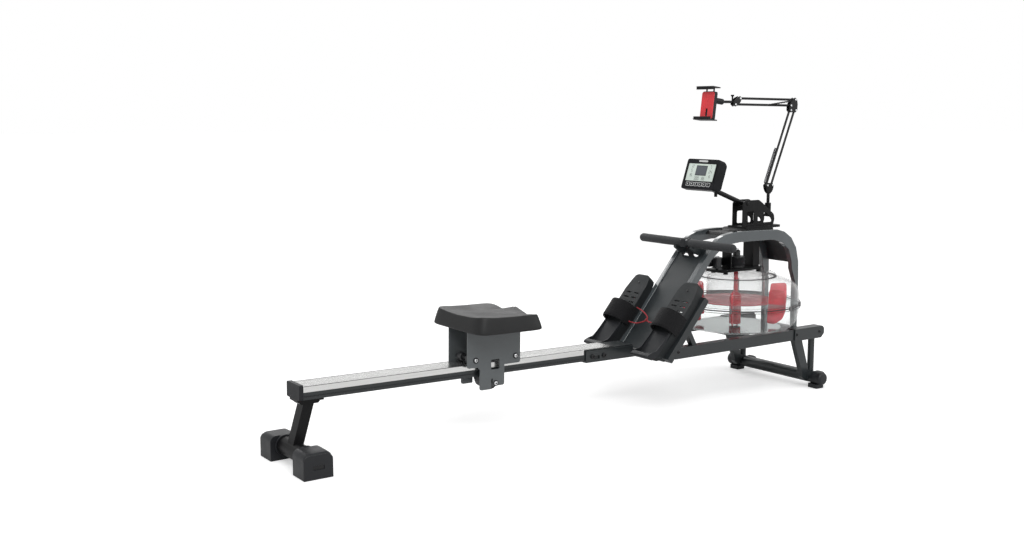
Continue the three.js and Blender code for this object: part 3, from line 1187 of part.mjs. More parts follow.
// A spring as one unbroken tube along a helix that starts on the side across, with a straight stub at each end
function springGeometry(from, to, across, radius, wire, curls) {
  const steps = 8;
  const sides = 5;
  const axis = to.clone().sub(from);
  const length = axis.length();
  axis.normalize();
  const over = across.clone().cross(axis).normalize();
  const stub = wire * 2;
  const rings = [];
  const total = curls * steps;
  for (let i = 0; i <= total; i += 1) {
    const angle = (i / steps) * Math.PI * 2;
    const out = across.clone().multiplyScalar(Math.cos(angle)).addScaledVector(over, Math.sin(angle));
    const along = stub + (i / total) * (length - stub * 2);
    const centre = from.clone().addScaledVector(axis, along).addScaledVector(out, radius);
    const ahead = axis.clone().multiplyScalar((length - stub * 2) / total)
      .addScaledVector(out.clone().cross(axis), -(radius * Math.PI * 2) / steps).normalize();
    rings.push({ centre, out, ahead });
  }
  const first = rings[0];
  const last = rings[rings.length - 1];
  rings.unshift({ centre: first.centre.clone().addScaledVector(axis, -stub), out: first.out, ahead: axis });
  rings.push({ centre: last.centre.clone().addScaledVector(axis, stub), out: last.out, ahead: axis });
  const positions = [];
  rings.forEach(({ centre, out, ahead }) => {
    const side = ahead.clone().cross(out);
    for (let k = 0; k < sides; k += 1) {
      const angle = (k / sides) * Math.PI * 2;
      const spot = centre.clone().addScaledVector(out, Math.cos(angle) * wire).addScaledVector(side, Math.sin(angle) * wire);
      positions.push(...spot.toArray());
    }
  });
  const indices = [];
  for (let ring = 0; ring + 1 < rings.length; ring += 1) {
    for (let k = 0; k < sides; k += 1) {
      const a = ring * sides + k;
      const b = ring * sides + ((k + 1) % sides);
      indices.push(a, a + sides, b, b, a + sides, b + sides);
    }
  }
  const end = (rings.length - 1) * sides;
  for (let k = 1; k + 1 < sides; k += 1) indices.push(0, k, k + 1, end, end + k + 1, end + k);
  let least = Infinity;
  for (let a = 1; a + 1 < rings.length; a += 1) {
    for (let b = a + steps / 2; b + 1 < rings.length; b += 1) {
      least = Math.min(least, rings[a].centre.distanceTo(rings[b].centre) - wire * 2);
    }
  }
  console.log(`spring: least gap between curls ${least.toFixed(2)} mm`);
  const geometry = new THREE.BufferGeometry();
  geometry.setAttribute("position", new THREE.Float32BufferAttribute(positions, 3));
  geometry.setIndex(indices);
  return geometry;
}

function armBaseGeometry() {
  const low = deviceArm.forkLow;
  const eye = deviceArm.eye;
  const corners = [
    [deviceArm.baseX - eye, low], [deviceArm.baseX + eye, low], [lowerFront.x + eye, lowerFront.z - eye],
    [lowerFront.x + eye, lowerFront.z + eye], [lowerRear.x - eye, lowerRear.z + eye], [lowerRear.x - eye, lowerRear.z - eye],
  ];
  const post = rodZ(deviceArm.baseX, 0, bracket.bossTop + seatGap, low + eye, deviceArm.post, 14);
  const deck = block(
    deviceArm.baseX - eye, deviceArm.baseX + eye, -deviceArm.fork - overrun / 2, deviceArm.fork + overrun / 2, low + seatGap,
    low + eye,
  );
  return join(...forkGeometry(corners, [lowerRear, lowerFront], []), post, deck);
}

function elbowGeometry() {
  const eye = deviceArm.eye;
  const corners = [
    [elbowRear.x - eye, elbowRear.z - eye], [elbowFront.x + eye, elbowFront.z - eye],
    [upperHigh.x + eye * plateShares.nose, upperHigh.z - eye], [upperHigh.x + eye / 2, upperHigh.z + eye],
    [upperHigh.x - eye, upperHigh.z + eye], [upperLow.x - eye, upperLow.z + eye / 2],
  ];
  const spacer = [upperHigh.x + eye * plateShares.spacer, (upperHigh.z + elbowFront.z) / 2];
  return join(...forkGeometry(corners, [elbowRear, elbowFront, upperLow, upperHigh], [spacer]));
}

function lowerRearBarGeometry() {
  const way = lowerSpan.clone().normalize();
  const out = point(-way.z, 0, way.x);
  const lugs = [lowerSpring.startShare, lowerSpring.endShare].map((share, index) => {
    const shift = (index === 0 ? -1 : 1) * (lowerSpring.lug + seatGap);
    const root = lowerRear.clone().addScaledVector(lowerSpan, share).addScaledVector(way, shift);
    return rod(root, root.clone().addScaledVector(out, lowerSpring.offset + lowerSpring.radius), lowerSpring.lug, 8);
  });
  return barGeometry(lowerRear, elbowRear, ...lugs);
}

function lowerSpringGeometry() {
  const way = lowerSpan.clone().normalize();
  const out = point(-way.z, 0, way.x);
  const [from, to] = [lowerSpring.startShare, lowerSpring.endShare].map(
    (share) => lowerRear.clone().addScaledVector(lowerSpan, share).addScaledVector(out, lowerSpring.offset),
  );
  return springGeometry(from, to, out, lowerSpring.radius, lowerSpring.wire, lowerSpring.curls);
}

function upperLowBarGeometry() {
  const root = upperLow.clone().addScaledVector(upperSpan, upperSpring.startShare);
  const from = root.clone().setY(-upperSpring.side);
  const to = upperLow.clone().addScaledVector(upperSpan, upperSpring.endShare)
    .add(point(0, -upperSpring.side, upperSpring.rise));
  const reach = upperSpring.side + upperSpring.radius;
  const lug = rodY(root.x, root.z, -reach - upperSpring.lug, 0, upperSpring.lug, 8);
  const coil = springGeometry(from, to, point(0, 1, 0), upperSpring.radius, upperSpring.wire, upperSpring.curls);
  return barGeometry(upperLow, headLow, lug, coil);
}

function headGeometry() {
  const eye = deviceArm.eye;
  const corners = [
    [headLow.x - eye, headLow.z - eye], [headLow.x + eye, headLow.z - eye], [headHigh.x + eye, headHigh.z - eye],
    [headHigh.x + eye, headHigh.z + eye], [headHigh.x - eye, headHigh.z + eye], [headLow.x - eye * plateShares.nose, headLow.z + eye],
  ];
  const rootX = headLow.x - eye * plateShares.neck;
  const rootZ = headLow.z + eye * plateShares.neck;
  const ballX = rootX - armHead.neckLength;
  const neck = rod(point(rootX, 0, rootZ), point(ballX, 0, rootZ), armHead.neck, 10);
  const ball = new THREE.SphereGeometry(armHead.ball, 12, 8).rotateZ(Math.PI / 2).translate(ballX, 0, rootZ);
  const screw = rodZ(rootX, 0, rootZ, rootZ + armHead.screwRise, armHead.screw, 8);
  const knob = rodZ(rootX, 0, rootZ + armHead.screwRise - armHead.knob, rootZ + armHead.screwRise, armHead.knob, 8);
  return join(...forkGeometry(corners, [headLow, headHigh], [[rootX, rootZ]]), neck, ball, screw, knob);
}

const clampGroup = new THREE.Group();
clampGroup.position.set(clamp.x, 0, clamp.z);
clampGroup.rotation.y = THREE.MathUtils.degToRad(clamp.lean);
machine.add(clampGroup);
clampGroup.updateMatrix();

function clampPosts(radius) {
  const low = clamp.height / 2 - clamp.postDepth;
  return [-1, 1].map((edge) => rodZ(
    0, (edge * clamp.postGap) / 2, low, clamp.height / 2 + clamp.postRise + overrun, radius, 8,
  ));
}

function jawShape(lift, upward) {
  const lip = lift + upward * clamp.jawLip;
  const face = lift + upward * clamp.jaw;
  const deep = clamp.depth / 2;
  return outline([
    [deep, lift], [-clamp.jawReach, lift], [-clamp.jawReach, lip + upward * clamp.jaw],
    [-clamp.jawReach + clamp.jaw, lip + upward * clamp.jaw], [-clamp.jawReach + clamp.jaw, face], [deep, face],
  ]);
}

function clampGeometry() {
  const half = clamp.height / 2;
  const body = extrudeX(withHoles(
    rectangle(-clamp.width / 2, -half, clamp.width, clamp.height, clamp.corner),
    rectangle(-clamp.slotWidth / 2, -half + clamp.slotLow, clamp.slotWidth, clamp.slotHeight, clamp.slotWidth / 2),
  ), -clamp.depth / 2, clamp.depth / 2, 3);
  const jaw = extrudeY(jawShape(-half - clamp.jaw / 2, 1), -clamp.jawWidth / 2, clamp.jawWidth / 2);
  const eye = deviceArm.eye;
  const ball = point(headLow.x - eye * plateShares.neck - armHead.neckLength, 0, headLow.z + eye * plateShares.neck)
    .applyMatrix4(clampGroup.matrix.clone().invert());
  const stem = rod(point(0, 0, ball.z), ball.clone().add(point(0, 0, 0)), clamp.socket, 14);
  const cup = new THREE.SphereGeometry(armHead.ball + runGap, 12, 8).rotateZ(Math.PI / 2).translate(ball.x, 0, ball.z);
  const slots = clampPosts(clamp.post + seatGap);
  return cut(join(body, jaw, stem), cup, ...slots);
}

function jawGeometry() {
  const lift = clamp.height / 2 + clamp.postRise + clamp.jaw;
  const jaw = extrudeY(jawShape(lift, -1), -clamp.jawWidth / 2, clamp.jawWidth / 2);
  return join(jaw, ...clampPosts(clamp.post));
}

addMesh(machine, "arm_base", armBaseGeometry(), materials.powderCoat);
addMesh(machine, "lower_bar_rear", lowerRearBarGeometry(), materials.powderCoat);
addMesh(machine, "lower_bar_front", barGeometry(lowerFront, elbowFront), materials.powderCoat);
addMesh(machine, "arm_spring", lowerSpringGeometry(), materials.steel);
addMesh(machine, "arm_elbow", elbowGeometry(), materials.powderCoat);
addMesh(machine, "upper_bar_top", barGeometry(upperHigh, headHigh), materials.powderCoat);
addMesh(machine, "upper_bar_bottom", upperLowBarGeometry(), materials.powderCoat);
addMesh(machine, "arm_head", headGeometry(), materials.powderCoat);
addMesh(clampGroup, "phone_clamp", clampGeometry(), materials.redPlastic);
addMesh(clampGroup, "clamp_jaw", jawGeometry(), materials.darkPlastic);

// Pull handle: a turned bar with swollen grips and a clamp block, and the strap from it to the drum
function handleGeometry() {
  const half = handle.halfLength;
  const side = [
    [handle.bar, handle.gripStart - handle.grip], [handle.grip, handle.gripStart], [handle.grip, half - handle.round],
    [handle.grip - handle.round / 2, half - handle.round / 4], [handle.grip - handle.round, half],
  ];
  const bar = turned([
    [0, -half], ...side.map(([r, y]) => [r, -y]).reverse(), ...side, [0, half],
  ], 14).rotateX(-Math.PI / 2).translate(handle.x, 0, handle.z);
  const block = extrudeY(rectangle(
    handle.x - handle.blockRear, handle.z - handle.blockLow, handle.blockRear + handle.blockFront,
    handle.blockLow + handle.blockHigh, handle.blockCorner,
  ), -handle.blockHalf, handle.blockHalf, 2);
  return join(bar, block);
}

// A flat strap along stations of place and twist, where a quarter twist stands it on its edge
function strapGeometry() {
  const slotX = boardRear + board.slotAt * Math.cos(footAngle) + (board.recess + board.sheet / 2) * Math.sin(footAngle);
  const slotZ = archSize.low + board.slotAt * Math.sin(footAngle) - (board.recess + board.sheet / 2) * Math.cos(footAngle);
  const startZ = handle.z - handle.blockLow - seatGap - strap.thickness / 4;
  const off = strap.thickness / 2 + seatGap;
  const dropShares = [[0, 1], [0.3, 0.62], [0.62, 0.22], [1, 0]];
  const dip = slotZ - strap.height;
  const stations = [
    [handle.x + handle.blockFront / 2, 0, startZ, 0],
    [(handle.x + handle.blockFront / 2 + slotX) / 2, 0, (startZ + slotZ) / 2, 0],
    ...dropShares.map(([along, height]) => [slotX + along * (strap.turnEnd - slotX), 0, strap.height + height * dip, 0]),
    [(strap.turnEnd + bridge.rear) / 2, (guide.radius + off) / 2, strap.height, 0.5],
    [bridge.rear, guide.radius + off, strap.height, 1],
    [guide.station, guide.radius + off, strap.height, 1],
    [strap.endStation, drum.spool + off, strap.height, 1],
  ];
  const curve = new THREE.CatmullRomCurve3(stations.map(([x, y, z]) => point(x, y, z)));
  const spans = stations.length - 1;
  const total = spans * strap.stepsPerSpan;
  const positions = [];
  for (let i = 0; i <= total; i += 1) {
    const t = i / total;
    const slot = Math.min(Math.floor(t * spans), spans - 1);
    const twist = THREE.MathUtils.lerp(stations[slot][3], stations[slot + 1][3], t * spans - slot) * (Math.PI / 2);
    const centre = curve.getPoint(t);
    const ahead = curve.getTangent(t);
    const level = point(0, 1, 0).addScaledVector(ahead, -ahead.y).normalize();
    const wide = level.clone().applyAxisAngle(ahead, twist);
    const thick = ahead.clone().cross(wide);
    [[-1, -1], [1, -1], [1, 1], [-1, 1]].forEach(([w, n]) => {
      positions.push(...centre.clone().addScaledVector(wide, (w * strap.width) / 2)
        .addScaledVector(thick, (n * strap.thickness) / 2).toArray());
    });
  }
  const indices = [];
  for (let ring = 0; ring < total; ring += 1) {
    for (let k = 0; k < 4; k += 1) {
      const a = ring * 4 + k;
      const b = ring * 4 + ((k + 1) % 4);
      indices.push(a, b, a + 4, b, b + 4, a + 4);
    }
  }
  const end = total * 4;
  indices.push(0, 2, 1, 0, 3, 2, end, end + 1, end + 2, end, end + 2, end + 3);
  const geometry = new THREE.BufferGeometry();
  geometry.setAttribute("position", new THREE.Float32BufferAttribute(positions, 3));
  geometry.setIndex(indices);
  geometry.computeVertexNormals();
  return geometry;
}

addMesh(machine, "pull_handle", handleGeometry(), materials.rubber);
addMesh(machine, "pull_strap", strapGeometry(), materials.webbing);

// The origin lies under the middle of the whole machine
const extent = new THREE.Box3().setFromObject(machine);
machine.position.set(-(extent.min.x + extent.max.x) / 2, 0, -extent.min.z);

export default machine;
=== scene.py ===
import json
import logging
import math
from dataclasses import dataclass
from enum import Enum
from typing import Any, Iterable, Sequence

import bmesh
import bpy
from mathutils import Matrix, Vector


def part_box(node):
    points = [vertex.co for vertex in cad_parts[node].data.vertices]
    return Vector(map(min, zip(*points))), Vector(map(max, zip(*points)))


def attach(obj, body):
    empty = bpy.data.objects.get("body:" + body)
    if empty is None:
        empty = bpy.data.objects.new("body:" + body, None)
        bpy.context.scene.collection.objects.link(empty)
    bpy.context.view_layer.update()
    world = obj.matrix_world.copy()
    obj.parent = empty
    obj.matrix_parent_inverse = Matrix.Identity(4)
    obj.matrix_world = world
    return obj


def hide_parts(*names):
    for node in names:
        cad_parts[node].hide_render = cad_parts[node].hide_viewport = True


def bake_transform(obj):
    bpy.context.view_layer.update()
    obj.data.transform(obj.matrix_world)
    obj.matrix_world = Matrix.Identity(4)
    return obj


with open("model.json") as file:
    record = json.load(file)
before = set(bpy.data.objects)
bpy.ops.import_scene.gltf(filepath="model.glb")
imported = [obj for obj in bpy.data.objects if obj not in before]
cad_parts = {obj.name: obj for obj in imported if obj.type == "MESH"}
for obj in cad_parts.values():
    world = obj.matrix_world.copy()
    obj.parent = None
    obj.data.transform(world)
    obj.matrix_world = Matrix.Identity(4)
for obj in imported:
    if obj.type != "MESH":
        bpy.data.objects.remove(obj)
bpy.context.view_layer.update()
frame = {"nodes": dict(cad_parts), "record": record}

LOG = logging.getLogger("rower")
Colour = tuple[float, float, float]
Spot = tuple[float, float, float]


class Wire:
    """A value or a colour that runs through a material's nodes."""

    def __init__(self, surface: "Surface", socket: bpy.types.NodeSocket) -> None:
        """Keeps the socket and the surface that it belongs to."""
        self.surface = surface
        self.socket = socket

    def _with(self, operation: str, other: "Wire | float", swap: bool = False) -> "Wire":
        """Adds one Math node.

        Args:
            operation: the Math node's operation.
            other: the second value.
            swap: puts the other value first.

        Returns:
            The result as a wire.
        """
        pair = (other, self) if swap else (self, other)
        return self.surface.node("ShaderNodeMath", {"operation": operation}, {0: pair[0], 1: pair[1]})

    def __add__(self, other: "Wire | float") -> "Wire":
        """Adds a value."""
        return self._with("ADD", other)

    __radd__ = __add__

    def __sub__(self, other: "Wire | float") -> "Wire":
        """Takes a value away."""
        return self._with("SUBTRACT", other)

    def __rsub__(self, other: float) -> "Wire":
        """Takes this from a value."""
        return self._with("SUBTRACT", other, swap=True)

    def __mul__(self, other: "Wire | float") -> "Wire":
        """Multiplies by a value."""
        return self._with("MULTIPLY", other)

    __rmul__ = __mul__

    def __truediv__(self, other: "Wire | float") -> "Wire":
        """Divides by a value."""
        return self._with("DIVIDE", other)

    def __rtruediv__(self, other: float) -> "Wire":
        """Divides a value by this."""
        return self._with("DIVIDE", other, swap=True)

    def __pow__(self, other: "Wire | float") -> "Wire":
        """Raises to a power."""
        return self._with("POWER", other)

    def above(self, level: float) -> "Wire":
        """Is 1 where the value is over a level."""
        return self._with("GREATER_THAN", level)

    def wave(self) -> "Wire":
        """The sine of the value."""
        return self.surface.node("ShaderNodeMath", {"operation": "SINE"}, {0: self})

    def size(self) -> "Wire":
        """The value without its sign."""
        return self.surface.node("ShaderNodeMath", {"operation": "ABSOLUTE"}, {0: self})

    def smooth(self, low: float, high: float, start: float = 0.0, end: float = 1.0) -> "Wire":
        """Maps a range of the value smoothly onto another.

        Args:
            low: the value that gives start.
            high: the value that gives end.
            start: the result at low.
            end: the result at high.

        Returns:
            The mapped value.
        """
        settings = {"interpolation_type": "SMOOTHSTEP"}
        return self.surface.node("ShaderNodeMapRange", settings, {0: self, 1: low, 2: high, 3: start, 4: end})


class Surface:
    """One material while it is made: its nodes and its principled shader."""

    def __init__(self, name: str) -> None:
        """Starts a material of that name."""
        self.material = bpy.data.materials.new(name)
        self.material.use_nodes = True
        self.tree = self.material.node_tree
        self.shader = self.tree.nodes["Principled BSDF"]
        self.output = self.tree.nodes["Material Output"]
        self.place = self.node("ShaderNodeTexCoord", {}, {}, "Object")

    def node(
        self, kind: str, settings: dict[str, Any], inputs: dict[Any, Any], output: Any = 0,
    ) -> Wire:
        """Adds a node, sets it up and joins its sockets.

        Args:
            kind: the node's type.
            settings: its own settings; "stops" gives a ramp's (place, colour) pairs.
            inputs: socket name or number to a value or a wire.
            output: the socket that is returned.

        Returns:
            The named output.
        """
        made = self.tree.nodes.new(kind)
        for key, value in settings.items():
            if key == "stops":
                ramp = made.color_ramp
                while len(ramp.elements) < len(value):
                    ramp.elements.new(1.0)
                for element, (spot, colour) in zip(ramp.elements, value):
                    element.position = spot
                    element.color = (*colour, 1.0)
            else:
                setattr(made, key, value)
        for key, value in inputs.items():
            self.join(made.inputs[key], value)
        return Wire(self, made.outputs[output])

    def join(self, socket: bpy.types.NodeSocket, value: Any) -> None:
        """Feeds a socket with a wire or a plain value."""
        if isinstance(value, Wire):
            self.tree.links.new(value.socket, socket)
        elif isinstance(value, tuple) and len(value) == 3 and socket.type == "RGBA":
            socket.default_value = (*value, 1.0)
        else:
            socket.default_value = value

    def give(self, **sockets: Any) -> "Surface":
        """Sets the shader's sockets, named with underscores for spaces."""
        for key, value in sockets.items():
            self.join(self.shader.inputs[key.replace("_", " ")], value)
        return self

    def noise(self, scale: float, detail: float = 2.0, place: "Wire | None" = None, rough: float = 0.5) -> Wire:
        """A noise in the piece's own coordinates.

        Args:
            scale: waves per metre.
            detail: octaves.
            place: other coordinates than the plain ones.
            rough: how strong the finer octaves are.

        Returns:
            A value from 0 to 1.
        """
        inputs = {"Vector": place or self.place, "Scale": scale, "Detail": detail, "Roughness": rough}
        return self.node("ShaderNodeTexNoise", {}, inputs, 0)

    def cells(self, scale: float, place: "Wire | None" = None) -> Wire:
        """The distance to the nearest of scattered points."""
        return self.node("ShaderNodeTexVoronoi", {}, {"Vector": place or self.place, "Scale": scale}, 0)

    def turned(self, scale: Spot, degrees: Spot = (0.0, 0.0, 0.0)) -> Wire:
        """The coordinates, turned and stretched.

        Args:
            scale: the stretch along each axis.
            degrees: the turn about each axis.

        Returns:
            The new coordinates.
        """
        angle = tuple(math.radians(value) for value in degrees)
        return self.node("ShaderNodeMapping", {}, {"Vector": self.place, "Rotation": angle, "Scale": scale})

    def axis(self, name: str, place: "Wire | None" = None) -> Wire:
        """One coordinate as a value."""
        return self.node("ShaderNodeSeparateXYZ", {}, {0: place or self.place}, name)

    def mix(self, share: "Wire | float", first: "Wire | Colour", second: "Wire | Colour") -> Wire:
        """Mixes two colours."""
        made = self.tree.nodes.new("ShaderNodeMix")
        made.data_type = "RGBA"
        self.join(made.inputs[0], share)
        self.join(made.inputs[6], first)
        self.join(made.inputs[7], second)
        return Wire(self, made.outputs[2])

    def bump(self, height: Wire, depth: float, strength: float = 1.0) -> Wire:
        """Turns a height from 0 to 1 into a normal.

        Args:
            height: the height.
            depth: how deep a height of 1 is, in metres.
            strength: the Bump node's strength.

        Returns:
            The normal.
        """
        return self.node("ShaderNodeBump", {}, {"Height": height, "Distance": depth, "Strength": strength}, 0)

    def see_through(self, share: "Wire | float", tint: Colour) -> "Surface":
        """Puts a clear shader beside the principled one.

        Args:
            share: how much of the principled shader shows.
            tint: the colour that passes through.

        Returns:
            This surface.
        """
        clear = self.node("ShaderNodeBsdfTransparent", {}, {"Color": tint})
        mixed = self.node(
            "ShaderNodeMixShader", {}, {0: share, 1: clear, 2: Wire(self, self.shader.outputs[0])},
        )
        self.join(self.output.inputs["Surface"], mixed)
        return self


@dataclass(frozen=True)
class Finish:
    """A surface finish: subclasses say how its material is made."""

    name: str
    colour: Colour

    @property
    def label(self) -> str:
        """The material's name, which no material of the plan's parts has."""
        return f"look_{self.name}"

    def make(self) -> bpy.types.Material:
        """Makes the material."""
        surface = Surface(self.label)
        self.dress(surface)
        return surface.material

    def dress(self, surface: Surface) -> None:
        """Sets the surface up: a subclass does this."""
        surface.give(Base_Color=self.colour)

    def lighter(self, share: float) -> Colour:
        """The colour, this many times as light."""
        return tuple(min(1.0, value * share) for value in self.colour)


@dataclass(frozen=True)
class PowderCoat(Finish):
    """Baked paint on steel: a satin film with a faint orange peel and dust."""

    roughness: float = 0.34
    peel: float = 0.00012
    coat: float = 0.25
    coat_roughness: float = 0.16
    shine: float = 0.5

    def dress(self, surface: Surface) -> None:
        """Dresses the surface."""
        cloud = surface.noise(9.0, 4.0)
        speck = surface.noise(1400.0, 1.0)
        peel = surface.noise(620.0, 2.0)
        dust = cloud.smooth(0.5, 0.75) * 0.5 + speck.smooth(0.62, 0.75) * 0.5
        surface.give(
            Base_Color=surface.mix(dust * 0.5, self.colour, self.lighter(1.5)),
            Roughness=cloud.smooth(0.3, 0.7, self.roughness - 0.05, self.roughness + 0.07),
            Normal=surface.bump(peel, self.peel, 0.35),
            Coat_Weight=self.coat, Coat_Roughness=self.coat_roughness, Specular_IOR_Level=self.shine,
        )


@dataclass(frozen=True)
class MouldedPlastic(Finish):
    """Injection-moulded plastic with a spark-eroded grain."""

    roughness: float = 0.5
    grain: float = 0.00010
    grain_scale: float = 1500.0
    shine: float = 0.4

    def dress(self, surface: Surface) -> None:
        """Dresses the surface."""
        grain = surface.cells(self.grain_scale)
        flow = surface.noise(14.0, 3.0)
        surface.give(
            Base_Color=surface.mix(flow.smooth(0.35, 0.7), self.colour, self.lighter(1.28)),
            Roughness=flow.smooth(0.3, 0.7, self.roughness - 0.05, self.roughness + 0.06),
            Normal=surface.bump(grain, self.grain, 0.4), Specular_IOR_Level=self.shine,
        )


@dataclass(frozen=True)
class BrushedSteel(Finish):
    """Stainless sheet, brushed along one axis."""

    along: Spot = (2.0, 240.0, 240.0)

    def dress(self, surface: Surface) -> None:
        """Dresses the surface."""
        lines = surface.noise(1.0, 3.0, surface.turned(self.along), 0.7)
        smear = surface.noise(5.0, 2.0)
        surface.give(
            Base_Color=surface.mix(lines.smooth(0.35, 0.65), self.lighter(0.94), self.lighter(1.03)),
            Metallic=1.0,
            Roughness=lines.smooth(0.3, 0.7, 0.20, 0.27) + smear.smooth(0.5, 0.8) * 0.04,
            Normal=surface.bump(lines, 0.00001, 0.2),
        )


@dataclass(frozen=True)
class TurnedSteel(Finish):
    """Bright zinc or nickel on screws, springs and axles."""

    def dress(self, surface: Surface) -> None:
        """Dresses the surface."""
        cloud = surface.noise(240.0, 3.0)
        surface.give(
            Base_Color=surface.mix(cloud.smooth(0.4, 0.7), self.colour, self.lighter(0.8)),
            Metallic=1.0, Roughness=cloud.smooth(0.3, 0.7, 0.2, 0.34),
        )


@dataclass(frozen=True)
class PadSkin(Finish):
    """The seat's moulded foam skin: a fine pore, a soft sheen and worn lights."""

    def dress(self, surface: Surface) -> None:
        """Dresses the surface."""
        pore = surface.cells(900.0)
        crease = surface.noise(260.0, 3.0)
        wear = surface.noise(11.0, 4.0)
        height = pore * 0.6 + crease * 0.4
        surface.give(
            Base_Color=surface.mix(wear.smooth(0.4, 0.72), self.colour, self.lighter(1.35)),
            Roughness=wear.smooth(0.35, 0.7, 0.44, 0.56),
            Normal=surface.bump(height, 0.00022, 0.5),
            Coat_Weight=0.06, Coat_Roughness=0.35, Specular_IOR_Level=0.3,
        )


@dataclass(frozen=True)
class Rubber(Finish):
    """Dull rubber with a dusty bloom."""

    def dress(self, surface: Surface) -> None:
        """Dresses the surface."""
        bloom = surface.noise(60.0, 4.0)
        surface.give(
            Base_Color=surface.mix(bloom.smooth(0.45, 0.75), self.colour, self.lighter(1.6)),
            Roughness=bloom.smooth(0.3, 0.7, 0.62, 0.8),
            Normal=surface.bump(bloom, 0.00012, 0.4),
        )


@dataclass(frozen=True)
class FoamGrip(Finish):
    """A closed-cell foam tube: small open pores."""

    def dress(self, surface: Surface) -> None:
        """Dresses the surface."""
        pore = surface.cells(1100.0)
        dent = surface.noise(70.0, 2.0)
        surface.give(
            # The base colour is darker in the pores' pits and lighter on the raised foam between them: painted shade in
            # the pores.
            Base_Color=surface.mix(pore.smooth(0.1, 0.5), self.lighter(0.6), self.lighter(1.25)),
            Roughness=0.74,
            Normal=surface.bump(pore * 0.7 + dent * 0.3, 0.0004, 0.5),
            Sheen_Weight=0.1,
        )


@dataclass(frozen=True)
class Webbing(Finish):
    """Woven tape: its weave follows the piece's own map, with u along the tape and v across it in metres."""

    pick: float = 0.0021
    end: float = 0.0016

    def dress(self, surface: Surface) -> None:
        """Dresses the surface."""
        plan = surface.node("ShaderNodeUVMap", {"uv_map": "tape"}, {}, 0)
        along = surface.axis("X", plan) * (math.tau / self.pick)
        across = surface.axis("Y", plan) * (math.tau / self.end)
        weave = (along.wave() * across.wave()).size()
        fuzz = surface.noise(2400.0, 2.0)
        height = weave * 0.8 + fuzz * 0.2
        surface.give(
            # The base colour is darker in the weave's hollows and lighter on its raised yarns: painted shade and
            # painted highlight on one yarn colour.
            Base_Color=surface.mix(height.smooth(0.1, 0.8), self.lighter(0.5), self.lighter(1.4)),
            Roughness=height.smooth(0.2, 0.8, 0.9, 0.72),
            Normal=surface.bump(height, 0.0003, 0.6),
            Sheen_Weight=0.06, Specular_IOR_Level=0.2,
        )


@dataclass(frozen=True)
class Braid(Finish):
    """A thin braided cord: its strands follow the piece's own map."""

    pitch: float = 0.006

    def dress(self, surface: Surface) -> None:
        """Dresses the surface."""
        plan = surface.node("ShaderNodeUVMap", {"uv_map": "tape"}, {}, 0)
        along = surface.axis("X", plan) * (math.tau / self.pitch)
        around = surface.axis("Y", plan) * (math.tau * 4.0)
        strands = ((along + around).wave() * (along - around).wave()).size()
        surface.give(
            # The base colour is darker in the grooves between the strands: painted shade in the braid.
            Base_Color=surface.mix(strands, self.lighter(0.45), self.colour),
            Roughness=0.78, Normal=surface.bump(strands, 0.0003, 0.6), Sheen_Weight=0.2,
        )


@dataclass(frozen=True)
class ClearShell(Finish):
    """Clear moulded plastic: it shows what is inside and shines at its edges."""

    tint: Colour = (0.985, 0.99, 0.99)
    body: float = 0.012
    rim: float = 0.55
    fall: float = 3.0

    def dress(self, surface: Surface) -> None:
        """Dresses the surface."""
        facing = surface.node("ShaderNodeLayerWeight", {}, {"Blend": 0.35}, "Facing")
        wash = surface.noise(7.0, 2.0)
        surface.give(
            Base_Color=self.colour, Roughness=wash.smooth(0.4, 0.8, 0.04, 0.09), Specular_IOR_Level=0.9,
            Coat_Weight=0.6, Coat_Roughness=0.03,
        )
        surface.see_through(facing ** self.fall * self.rim + self.body, self.tint)


@dataclass(frozen=True)
class ClearFloor(Finish):
    """The tank's floor under water: seen at a low angle it mirrors the tank above it."""

    def dress(self, surface: Surface) -> None:
        """Dresses the surface."""
        ripple = surface.noise(24.0, 2.0)
        surface.give(
            Base_Color=self.colour, Metallic=1.0, Roughness=ripple.smooth(0.3, 0.7, 0.05, 0.13),
            Normal=surface.bump(ripple, 0.0012, 0.3),
        )
        surface.see_through(0.86, (0.99, 0.99, 0.99))


@dataclass(frozen=True)
class TankWater(Finish):
    """Still water: a faint tint with a bright skin."""

    rim: float = 0.03

    def dress(self, surface: Surface) -> None:
        """Dresses the surface."""
        facing = surface.node("ShaderNodeLayerWeight", {}, {"Blend": 0.3}, "Facing")
        ripple = surface.noise(26.0, 3.0)
        surface.give(
            Base_Color=self.colour, Roughness=0.05, Specular_IOR_Level=0.7,
            Normal=surface.bump(ripple, 0.004, 0.35),
        )
        surface.see_through(facing ** 3.0 * self.rim + 0.010, (0.985, 0.992, 0.99))


@dataclass(frozen=True)
class ClearRed(Finish):
    """Translucent red plastic: deep where it is thick."""

    def dress(self, surface: Surface) -> None:
        """Dresses the surface."""
        flow = surface.noise(22.0, 3.0)
        surface.give(
            Base_Color=surface.mix(flow.smooth(0.3, 0.7), self.colour, self.lighter(1.35)),
            Roughness=0.14, Specular_IOR_Level=0.6,
        )
        surface.see_through(flow.smooth(0.35, 0.7, 0.58, 0.80), (0.99, 0.42, 0.48))


@dataclass(frozen=True)
class GlossPlastic(Finish):
    """Smooth moulded plastic, such as the clamp, the keys and the rollers."""

    roughness: float = 0.24
    shine: float = 0.5

    def dress(self, surface: Surface) -> None:
        """Dresses the surface."""
        flow = surface.noise(30.0, 3.0)
        scuff = surface.noise(1.0, 2.0, surface.turned((90.0, 400.0, 60.0), (20.0, 0.0, 35.0)))
        surface.give(
            Base_Color=surface.mix(flow.smooth(0.4, 0.7), self.colour, self.lighter(1.15)),
            Roughness=scuff.smooth(0.55, 0.75, self.roughness, self.roughness + 0.14),
            Coat_Weight=0.2 * self.shine, Coat_Roughness=0.1, Specular_IOR_Level=self.shine,
        )


